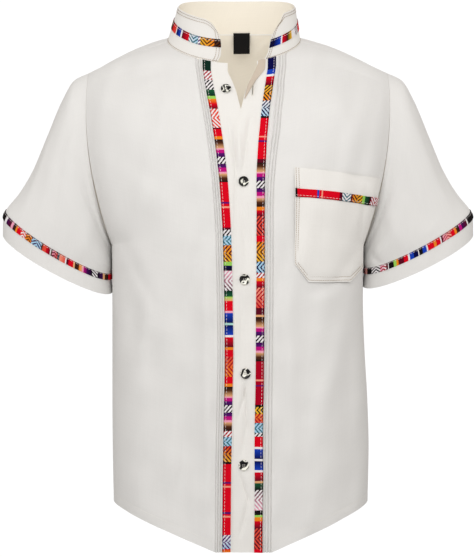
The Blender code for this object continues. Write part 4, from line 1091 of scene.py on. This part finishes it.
def sleeve_points(side, rings, turns):
    """Points of a sleeve with its creases, and the way out of them, for turns that go up."""
    rings, around = np.meshgrid(rings, turns, indexing="ij")
    grid = sleeve_surface(side, rings, around)
    drawn = (1 - np.cos(np.radians(around))) / 2 * np.clip(rings / CUFF_LIFT_RINGS, 0, 1) ** CUFF_LIFT_POWER
    grid[..., 2] += CUFF_LIFT[side] * drawn
    # the front keeps facing forward until close to the trunk
    forward = np.maximum(np.where(around < 180, np.sin(np.radians(around)), 1), LEAST_FORWARD)
    squared = SLEEVE_SQUARED * np.clip(rings / SLEEVE_SQUARED_RINGS, 0, 1) * (around > 90)
    grid[..., 1] = SEAM_Y + (grid[..., 1] - SEAM_Y) * forward**-squared
    out = normals(grid, side, closed=True)
    if rings[0, 0] == 0:
        out[0, :, 0] = 0
    out = unit(out)
    grid = grid + out * creased(CREASES[side], rings, around, SLEEVE_UNITS)[..., None]
    again = normals(grid, side, closed=True)
    again[0] = out[0]
    return grid, again


def sleeve(side, materials):
    """A sleeve with its turned hem, its trim and the trim's stitching."""
    name = "sleeve_right" if side < 0 else "sleeve_left"
    rings = np.arange((len(SLEEVE) - 1) * SLEEVE_RINGS + 1) / SLEEVE_RINGS
    grid, out = sleeve_points(side, rings, np.arange(SLEEVE_AROUND) * 360 / SLEEVE_AROUND)
    down = run_lengths(grid)
    deep = seam_depth(grid[:1, :, 2])
    head_place, head_width, head_share = SLEEVE_HEAD
    relief = groove(down, 0, SEAM_DIP_WIDTH, deep) + groove(down, head_place, head_width, head_share * deep)
    thickness = np.where(rings[:, None] > SLEEVE_HEM_RING, HEM_CLOTH, CLOTH)
    inner = grid + out * (np.minimum(relief, 0) - thickness)[..., None]
    wall(name, grid + out * relief[..., None], inner, materials, closed=True)
    around = int(round(SLEEVE_TRIM_LENGTH / TRIM_THREAD))
    turns = (180 + np.arange(around) * 360 / around) % 360
    grid, out = sleeve_points(side, np.linspace(*SLEEVE_TRIM_RINGS, TRIM_ACROSS + 1), turns)
    top = (grid + out * (SEAM + TRIM_CLOTH)).transpose(1, 0, 2)[::-1]
    trim(name, top, out.transpose(1, 0, 2)[::-1], -1, closed=True, inset=SLEEVE_TRIM_INSET)


def collar_full(turn):
    return COLLAR_HEIGHT + COLLAR_FRONT_EXTRA * np.maximum(np.cos(np.radians(turn)), 0)


def from_collar_ends(turn):
    return turn - COLLAR_LEFT_TURN, 360 - COLLAR_RIGHT_TURN - turn


def collar_height(turn):
    """The collar's height, rounded down at its two ends."""
    distance = np.radians(np.minimum(*from_collar_ends(turn))) * COLLAR_END_SPREAD
    inside = np.clip(COLLAR_END_RADIUS - distance, 0, COLLAR_END_RADIUS)
    return collar_full(turn) - COLLAR_END_RADIUS + np.sqrt(COLLAR_END_RADIUS**2 - inside**2)


def collar_points(turn, rise):
    """Points of the collar, by turn from the front towards the viewer's left and by height above the seam."""
    distances = from_collar_ends(turn)
    for sign, lean, distance in zip((1, -1), (COLLAR_LEFT_LEAN, COLLAR_RIGHT_LEAN), distances):
        fade = (1 - np.clip(distance / COLLAR_LEAN_REACH, 0, 1)) ** 2
        turn = turn + sign * smooth(COLLAR_LEAN_SHARES, lean, rise / COLLAR_HEIGHT) * fade
    angle = np.radians(turn)
    base = neckline(-turn)
    base[..., 2] += COLLAR_SEAM
    full = collar_full(turn)
    top_x = COLLAR_TOP_X - COLLAR_TOP_HALF_WIDTH * np.sin(angle)
    top = np.stack([top_x, -COLLAR_TOP_HALF_DEPTH * np.cos(angle), base[..., 2] + full], axis=-1)
    return faded((base, top), (rise / full)[..., None])


def collar_line(inset):
    """Stitches along the collar's front end, its top edge and its other end, a little inside them."""
    degrees = np.degrees(inset / COLLAR_END_SPREAD)
    turns = np.linspace(COLLAR_LEFT_TURN + degrees, 360 - COLLAR_RIGHT_TURN - degrees, COLLAR_LINE_POINTS)
    heights = collar_height(turns) - inset
    rise = np.linspace(COLLAR_END_START, 1, COLLAR_END_POINTS)
    turns = np.concatenate([np.full_like(rise, turns[0]), turns, np.full_like(rise, turns[-1])])
    heights = np.concatenate([rise * heights[0], heights, rise[::-1] * heights[-1]])
    line = collar_points(turns, heights)
    ahead = collar_points(turns + COLLAR_TURN_STEP, heights)
    above = collar_points(turns, heights + STEP_ASIDE)
    return line, unit(np.cross(above - line, ahead - line))


def collar(materials):
    """The standing collar, its double edge stitching and its trim."""
    share = np.linspace(0, 1, COLLAR_AROUND)
    ease = share - COLLAR_CROWDING * np.sin(2 * np.pi * share) / (2 * np.pi)
    turns = between((COLLAR_LEFT_TURN, 360 - COLLAR_RIGHT_TURN), ease)
    full = collar_height(turns)
    heights = np.outer(1 - (1 - np.linspace(0, 1, COLLAR_UP)) ** COLLAR_UP_POWER, full)
    grid = collar_points(np.tile(turns, (COLLAR_UP, 1)), heights)
    out = levelled(normals(grid, -1), rows=[0, -1], axis=2)
    near = np.minimum(run_lengths(grid, 1), run_lengths(grid[:, ::-1], 1)[:, ::-1])
    near = np.minimum(full - heights, near)
    inward = 1 - np.sqrt(1 - (1 - np.minimum(near / COLLAR_CLOTH, 1)) ** 2)
    inward = COLLAR_CLOTH * COLLAR_ROUNDING * inward
    double = sum(groove(near, inset, *COLLAR_GROOVE) for inset in COLLAR_STITCHED)
    wall("collar", grid - out * (inward - double)[..., None], grid - out * (COLLAR_CLOTH - inward)[..., None],
         materials)
    foot = collar_points(turns, np.full_like(turns, COLLAR_FOOT)) + out[0] * COLLAR_FOOT_LIFT
    lines = [*map(collar_line, COLLAR_STITCHED), (foot, out[0])]
    # the edge thread's dark brown is partly painted shade along the collar's edges
    stitching("collar_stitches", lines, EDGE_STITCH, SHADED_EDGE_THREAD)
    trim_turns = np.interp(np.linspace(0, 1, int(round(COLLAR_TRIM_LENGTH / TRIM_THREAD))), share, turns)
    turn, height = np.meshgrid(trim_turns, np.linspace(*COLLAR_TRIM_HEIGHTS, TRIM_ACROSS + 1), indexing="ij")
    grid = collar_points(turn, height + smooth(*COLLAR_TRIM_SHIFT, turn))
    out = -normals(grid, -1)
    trim("collar", grid + out * (SEAM + TRIM_CLOTH), out, 1, inset=SHORT_TRIM_INSET)


def pocket_x(share, height):
    turn = np.degrees(np.arccos(np.clip((height - ARMPIT_Z) / (SHOULDER_Z - ARMPIT_Z) * 2 - 1, -1, 1)))
    edge = np.where(height > ARMPIT_Z, armhole(1, turn)[..., 0], side_x(1, height)) - POCKET_SIDE_MARGIN
    return between((POCKET_LEFT, edge), share)


def pocket_place(share, down):
    """Places of the pocket by share across from its left edge and share down from its top."""
    top = between(POCKET_TOP, share)
    cut = np.interp(share, [0, *POCKET_CUT_SHARE, 1], [POCKET_CUT_HEIGHT[0], 0, 0, POCKET_CUT_HEIGHT[1]])
    height = between((top, POCKET_BOTTOM + cut), down)
    return pocket_x(share, height), height


def pocket_gape(share, down):
    """How far the pocket stands off: its header slopes out, and its lower right corner hangs free."""
    rise, fall = POCKET_HEADER_SHARES
    header = POCKET_HEADER * np.clip(down / rise, 0, 1) * np.clip((1 - down) / fall, 0, 1)
    return header + POCKET_GAPE * share ** POCKET_GAPE_POWERS[0] * down ** POCKET_GAPE_POWERS[1]


def pocket(materials):
    """The patch pocket, its double stitching and the trim across its header."""
    share, down = np.meshgrid(np.linspace(0, 1, POCKET_GRID[0]), np.linspace(1, 0, POCKET_GRID[1]))
    grid, out = front_frame(*pocket_place(share, down))
    across = run_lengths(grid, 1)
    edge = np.minimum(np.minimum(across, across[:, -1:] - across), run_lengths(grid))
    relief = POCKET_SWELL * (1 - np.exp(-((edge / POCKET_SWELL_REACH) ** 2))) + pocket_gape(share, down)
    lines = []
    for inset, depth in zip(POCKET_STITCHED, POCKET_GROOVES):
        relief = relief + groove(edge, inset, POCKET_GROOVE_WIDTH, depth)
        part = inset / POCKET_WIDTH
        low = np.linspace(0, 1, POCKET_LINE_POINTS)
        flat = np.full_like(low, 1 - part)
        line_share = np.concatenate([np.full_like(low, part), np.linspace(part, 1 - part, len(low)), flat])
        line_down = np.concatenate([low * (1 - part), flat, (1 - low) * (1 - part)])
        line, way = front_frame(*pocket_place(line_share, line_down))
        lift = POCKET_LIFT + CLOTH + pocket_gape(line_share, line_down) - POCKET_STITCH_SINK
        lines.append((line + way * lift[:, None], way))
    inner = grid + out * (POCKET_LIFT + relief)[..., None]
    wall("pocket", inner + out * CLOTH, inner, materials)
    # the edge thread's dark brown is partly painted shade along the pocket's edges
    stitching("pocket_stitches", lines, EDGE_STITCH, SHADED_EDGE_THREAD)
    count = int(round(POCKET_TRIM_LENGTH / TRIM_THREAD))
    share, across = np.meshgrid(np.linspace(0, 1, count), np.linspace(-0.5, 0.5, TRIM_ACROSS + 1),
                                indexing="ij")
    height = between(POCKET_TRIM_MIDDLE, share) + across * TRIM_WIDTH
    grid, out = front_frame(pocket_x(share, height), height)
    lift = pocket_gape(share, POCKET_TRIM_DOWN) + POCKET_LIFT + CLOTH + POCKET_SWELL
    lift = lift + POCKET_TRIM_LIFT + TRIM_CLOTH
    trim("pocket", grid + out * lift[..., None], out, -1, inset=SHORT_TRIM_INSET)


def circle(radius, around):
    angles = np.arange(around) * 2 * np.pi / around
    return np.stack([radius * np.cos(angles), radius * np.sin(angles), np.zeros(around)], axis=1)


def band_faces(ring, count):
    """Faces of the bands between rings of points that follow each other, and the ring turned by one point."""
    after = np.roll(ring, -1)
    starts = len(ring) * np.arange(count)[:, None]
    corners = [ring + starts, after + starts, after + starts + len(ring), ring + starts + len(ring)]
    return [*np.stack(corners, axis=-1).reshape(-1, 4)], after


def prisms(name, pairs, materials):
    """Closed prisms, each between a lower and an upper ring of points."""
    faces = []
    around = len(pairs[0][0])
    for low in range(0, 2 * around * len(pairs), 2 * around):
        ring = low + np.arange(around)
        faces += [ring[::-1], ring + around, *band_faces(ring, 1)[0]]
    return piece(name, np.concatenate([np.concatenate(pair) for pair in pairs]), faces, materials)


def button(place):
    """A four-hole shell button with a raised rim, and the thread through its holes."""
    rings = [circle(radius * BUTTON_RADIUS, BUTTON_AROUND) + (0, 0, height * BUTTON_THICKNESS)
             for radius, height in BUTTON_PROFILE[1:-1]]
    points = np.concatenate([[(0, 0, 0)], *rings, [(0, 0, BUTTON_PROFILE[-1][1] * BUTTON_THICKNESS)]])
    ring = 1 + np.arange(BUTTON_AROUND)
    faces, after = band_faces(ring, len(rings) - 1)
    top = BUTTON_AROUND * (len(rings) - 1)
    for a, b in zip(ring, after):
        faces += [[0, b, a], [top + a, top + b, len(points) - 1]]
    made = piece(f"{place.name}_shell", points, faces, [SHELL], sharp=60)
    lift = 2 * SEAM + BUTTONHOLE_PLACKET[1] + BUTTON_LIFT if place.over else SEAM + BUTTON_LIFT
    spot, out = (found[0] for found in front_frame([place.x], [place.height], 1 if place.over else -1))
    slope = np.arctan2(out[2], -out[1])
    placed = Matrix.Translation(spot + out * lift) @ Matrix.Rotation(np.pi / 2 - slope, 4, "X")
    pins = [circle(BUTTON_HOLE_RADIUS, PIN_AROUND) + spoke for spoke in circle(BUTTON_HOLE_SPREAD, 8)[1::2]]
    pins = [(pin - (0, 0, BUTTON_THICKNESS), pin + (0, 0, 2 * BUTTON_THICKNESS)) for pin in pins]
    cutter = prisms("button_cutter", pins, [])
    cut = made.modifiers.new("holes", "BOOLEAN")
    cut.object = cutter
    cut.solver = "EXACT"
    graph = bpy.context.evaluated_depsgraph_get()
    drilled = bpy.data.meshes.new_from_object(made.evaluated_get(graph))
    made.modifiers.clear()
    made.data = drilled
    bpy.data.objects.remove(cutter)
    made.data.transform(placed)
    settle(made, place.name)
    lines = []
    for aside in (-BUTTON_THREAD_ASIDE, BUTTON_THREAD_ASIDE):
        for beside in (-BUTTON_THREAD_APART, BUTTON_THREAD_APART):
            ends = ([aside + beside, end, BUTTON_THREAD_HEIGHT]
                    for end in (-BUTTON_THREAD_REACH, BUTTON_THREAD_REACH))
            line = np.linspace(*ends, BUTTON_THREAD_POINTS)
            line[[0, -1], 2] -= BUTTON_THREAD_SINK
            lines.append((np.array([placed @ Vector(point) for point in line]), np.tile(out, (len(line), 1))))
    stitching(f"{place.name}_thread", lines, BUTTON_STITCH, THREAD)


def buttonholes(slit_shade_material):
    """Upright buttonholes in the left front's placket: satin stitching round a dark sliver of painted shade
    for the slit, one for each button.
    """
    lines, slits = [], []
    lift = sum(BUTTONHOLE_PLACKET)
    beside, half, rise = BUTTONHOLE_STITCH
    bar_half, bar_rise = BUTTONHOLE_BAR
    levels = np.arange(-BUTTONHOLE_HALF, BUTTONHOLE_HALF + BUTTONHOLE_PITCH / 4, BUTTONHOLE_PITCH)
    stitches = [(middle, half, level, rise) for middle in (-beside, beside) for level in levels]
    stitches += [(0, bar_half, level, bar_rise) for level in (levels[0], levels[-1])]
    for x, height in [OPEN_BUTTONHOLE] + [(place.x, place.height) for place in BUTTONS[1:]]:
        for middle, reach, level, over in stitches:
            line, out = front_frame([x + middle - reach, x + middle + reach], [height + level] * 2)
            lines.append((line + out * (lift + over), out))
        corners = np.array([(-1, -1), (1, -1), (1, 1), (-1, 1)]) * SLIT_HALF + (x, height)
        spots, out = front_frame(*corners.T)
        slits.append([spots + out * (lift + over) for over in SLIT_LIFTS])
    stitching("buttonhole_stitches", lines, SATIN_STITCH, THREAD)
    settle(prisms("buttonhole_shade_slivers", slits, [slit_shade_material]), None)


def label(black):
    """The bare woven label, caught in the neck seam along its top."""
    across, up = np.meshgrid(np.linspace(-0.5, 0.5, LABEL_GRID[0]), np.linspace(0, 1, LABEL_GRID[1]))
    x = LABEL_X + LABEL_WIDTH * across
    seam = neckline(180 - neck_turn(x))[..., 1]
    curl = LABEL_CURL * (1 - up) ** 2 * (LABEL_CURL_SHIFT + across) - LABEL_HOLLOW * np.cos(across * np.pi)
    grid = np.stack([x, seam - LABEL_STANDOFF - curl, between((LABEL_BOTTOM, LABEL_TOP), up)], axis=-1)
    wall("label", grid + normals(grid, 1) * LABEL_CLOTH, grid, [black])


def look(name, **values):
    """A new material, and functions that add nodes to it and finish it."""
    made = bpy.data.materials.new(name)
    made.use_nodes = True
    tree = made.node_tree
    shader = tree.nodes["Principled BSDF"]
    for key, value in values.items():
        shader.inputs[key.replace("_", " ")].default_value = value

    def add(kind, settings=(), out=0, **sockets):
        node = tree.nodes.new(kind)
        for key, value in dict(settings).items():
            setattr(node, key, value)
        for key, value in sockets.items():
            socket = node.inputs[int(key[1:]) if key[1:].isdigit() else key]
            if isinstance(value, bpy.types.NodeSocket):
                tree.links.new(value, socket)
            else:
                socket.default_value = value
        return node.outputs[out]

    def finish(colour, height=None, strength=0.0, distance=0.0):
        tree.links.new(colour, shader.inputs["Base Color"])
        if height is not None:
            bump = add("ShaderNodeBump", Height=height, Strength=strength, Distance=distance)
            tree.links.new(bump, shader.inputs["Normal"])
        return made

    return add, finish


def calc(add, operation, first, second=0.0):
    return add("ShaderNodeMath", {"operation": operation}, i0=first, i1=second)


def mixed(add, factor, first, second):
    """One colour fading into another."""
    return add("ShaderNodeMix", {"data_type": "RGBA"}, 2, i0=factor, i6=(*first, 1), i7=(*second, 1))


def noise(add, places, scale, detail=2.0, **more):
    return add("ShaderNodeTexNoise", Vector=places, Scale=scale, Detail=detail, **more)


def object_places(add):
    return add("ShaderNodeTexCoord", (), "Object")


def weave_height(add, pitch):
    """A plain weave over the cloth's UV map: threads over and under, and the places on the map."""
    places = add("ShaderNodeUVMap", {"uv_map": "cloth"})
    waves = [calc(add, "SINE", calc(add, "MULTIPLY", add("ShaderNodeSeparateXYZ", (), axis, Vector=places),
                                    np.pi / pitch)) for axis in (0, 1)]
    return calc(add, "MULTIPLY", *waves), places


def tones(colour, darker, lighter, most):
    return linear(colour) * darker, np.minimum(linear(colour) * lighter, most)


def cloth_material(name, colour):
    """Cotton in a plain weave, with a few thicker threads both ways and a soft nap."""
    add, finish = look(name, Roughness=0.86, Sheen_Weight=0.12, Sheen_Roughness=0.6)
    weave, places = weave_height(add, CLOTH_WEAVE)
    slubs = [noise(add, add("ShaderNodeMapping", Vector=places, Scale=scale), 1.0) for scale in SLUB_SCALES]
    slub = calc(add, "ADD", *slubs)
    tone = calc(add, "MULTIPLY", slub, SLUB_SHARE)
    for part, share in ((noise(add, places, *PATCHES), PATCH_SHARE), (weave, WEAVE_SHARE)):
        tone = calc(add, "ADD", tone, calc(add, "MULTIPLY", part, share))
    height = calc(add, "ADD", calc(add, "MULTIPLY", weave, 0.5), slub)
    tone = calc(add, "MULTIPLY", tone, TONE_GAIN)
    return finish(mixed(add, tone, *tones(colour, *CLOTH_TONES)), height, *CLOTH_BUMP)


def woven_material():
    """The trim: each thread in its own colour, over a ribbed weave."""
    add, finish = look("woven_trim_looks", Roughness=0.75, Specular_IOR_Level=0.04)
    weave, places = weave_height(add, TRIM_WEAVE)
    by_weave, by_fibre, plain = TRIM_SHADES
    shade = calc(add, "MULTIPLY", weave, by_weave)
    shade = calc(add, "ADD", shade, calc(add, "MULTIPLY", noise(add, places, FIBRES), by_fibre))
    thread = add("ShaderNodeVertexColor", {"layer_name": "thread"})
    tinted = add("ShaderNodeHueSaturation", Color=thread, Value=calc(add, "ADD", shade, plain))
    return finish(tinted, weave, *TRIM_BUMP)


def thread_material(name, colour):
    """Sewing thread with a fine twist."""
    add, finish = look(name, Roughness=0.55, Sheen_Weight=0.2)
    twist = noise(add, object_places(add), *TWISTS)
    return finish(mixed(add, twist, *tones(colour, *THREAD_TONES)), twist, *THREAD_BUMP)


def shell_material():
    """Dark mother of pearl: clouds of black, grey and near white under a clear gloss, the whites partly
    painted reflection.
    """
    add, finish = look("dark_shell_and_painted_reflection_looks", Roughness=0.30, Coat_Weight=0.25, Coat_Roughness=0.06,
                       Specular_IOR_Level=0.2)
    cloud = noise(add, object_places(add), *CLOUDS, Distortion=CLOUD_DISTORTION)
    colour = add("ShaderNodeValToRGB", Fac=cloud)
    elements = colour.node.color_ramp.elements
    elements[0].position, elements[1].position = SHELL_AND_REFLECTION_STOPS[0][0], SHELL_AND_REFLECTION_STOPS[-1][0]
    for position, _ in SHELL_AND_REFLECTION_STOPS[1:-1]:
        elements.new(position)
    for element, (_, shade) in zip(elements, SHELL_AND_REFLECTION_STOPS):
        element.color = (*linear(shade), 1)
    return finish(colour)


def label_material():
    """Black satin ribbon with fine ribs across it."""
    add, finish = look("black_label_looks", Roughness=0.6, Specular_IOR_Level=0.1)
    weave, places = weave_height(add, LABEL_WEAVE)
    return finish(mixed(add, noise(add, places, RIBS), *LABEL_BLACKS), weave, *LABEL_BUMP)


def floor():
    """A plain pale floor, well below the hem."""
    add, finish = look("pale_floor", Roughness=0.9)
    pale = finish(mixed(add, noise(add, object_places(add), FLOOR_PATCHES), *FLOOR_GREYS))
    ring = circle(FLOOR_RADIUS, FLOOR_AROUND) + (0, 0, FLOOR_HEIGHT)
    piece("floor", ring, [range(FLOOR_AROUND)], [pale])


def studio():
    """Soft lights, a white surround and the camera."""
    scene = bpy.context.scene
    for light in LIGHTS:
        data = bpy.data.lights.new(light.name, "AREA")
        data.size = light.size
        data.energy = light.power
        data.color = (light.red, light.green, light.blue)
        lamp = bpy.data.objects.new(light.name, data)
        scene.collection.objects.link(lamp)
        lamp.visible_camera = False
        lamp.location = (light.x, light.y, light.z)
        aim = INSIDE_AIM if light.name == "inside" else AIM
        lamp.rotation_euler = (aim - lamp.location).to_track_quat("-Z", "Y").to_euler()
    world = bpy.data.worlds.new("surround")
    scene.world = world
    world.use_nodes = True
    tree = world.node_tree
    soft = tree.nodes["Background"]
    soft.inputs[0].default_value = (*AMBIENT, 1)
    white = tree.nodes.new("ShaderNodeBackground")
    white.inputs[0].default_value = (1.0, 1.0, 1.0, 1)
    white.inputs[1].default_value = SURROUND_STRENGTH
    seen = tree.nodes.new("ShaderNodeLightPath")
    mix = tree.nodes.new("ShaderNodeMixShader")
    tree.links.new(seen.outputs["Is Camera Ray"], mix.inputs[0])
    tree.links.new(soft.outputs[0], mix.inputs[1])
    tree.links.new(white.outputs[0], mix.inputs[2])
    tree.links.new(mix.outputs[0], tree.nodes["World Output"].inputs[0])
    data = bpy.data.cameras.new("camera")
    data.sensor_width = SENSOR_MM
    data.lens = SENSOR_MM * -CAMERA_PLACE[1] / PICTURE_HEIGHT
    data.clip_end = 100
    camera = bpy.data.objects.new("camera", data)
    scene.collection.objects.link(camera)
    camera.matrix_world = Matrix.Translation(CAMERA_PLACE) @ Matrix.Rotation(np.pi / 2, 4, "X")
    scene.camera = camera
    scene.view_settings.view_transform = "Standard"
    scene.view_settings.look = "None"


THREAD, TRIM_THREAD_LOOK, SHADED_EDGE_THREAD = (thread_material(name, colour) for name, colour in THREADS.items())
WOVEN = woven_material()
SHELL = shell_material()


def main():
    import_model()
    cream, double, beige, facing, slit = (cloth_material(name, colour) for name, colour in CLOTHS.items())
    back([cream, beige])
    for side in (-1, 1):
        front(side, [cream, beige])
        sleeve(side, [cream, beige])
    under = (lambda z: trim_x(-1, z) + SEAM / 2, lambda z: read(OPENING, "under_edge", z))
    over = (lambda z: read(OPENING, "over_edge", z), lambda z: trim_x(1, z) + TRIM_WIDTH / 2)
    placket("placket_button", -1, under, -CLOTH, CLOTH, [double, beige])
    placket("placket_buttonhole", 1, over, *BUTTONHOLE_PLACKET, [double, beige])
    turned_corner([facing, double])
    front_trims()
    collar([double, beige])
    pocket([double, beige])
    for place in BUTTONS:
        button(place)
    buttonholes(slit)
    label(label_material())
    floor()
    studio()
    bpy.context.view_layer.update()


main()
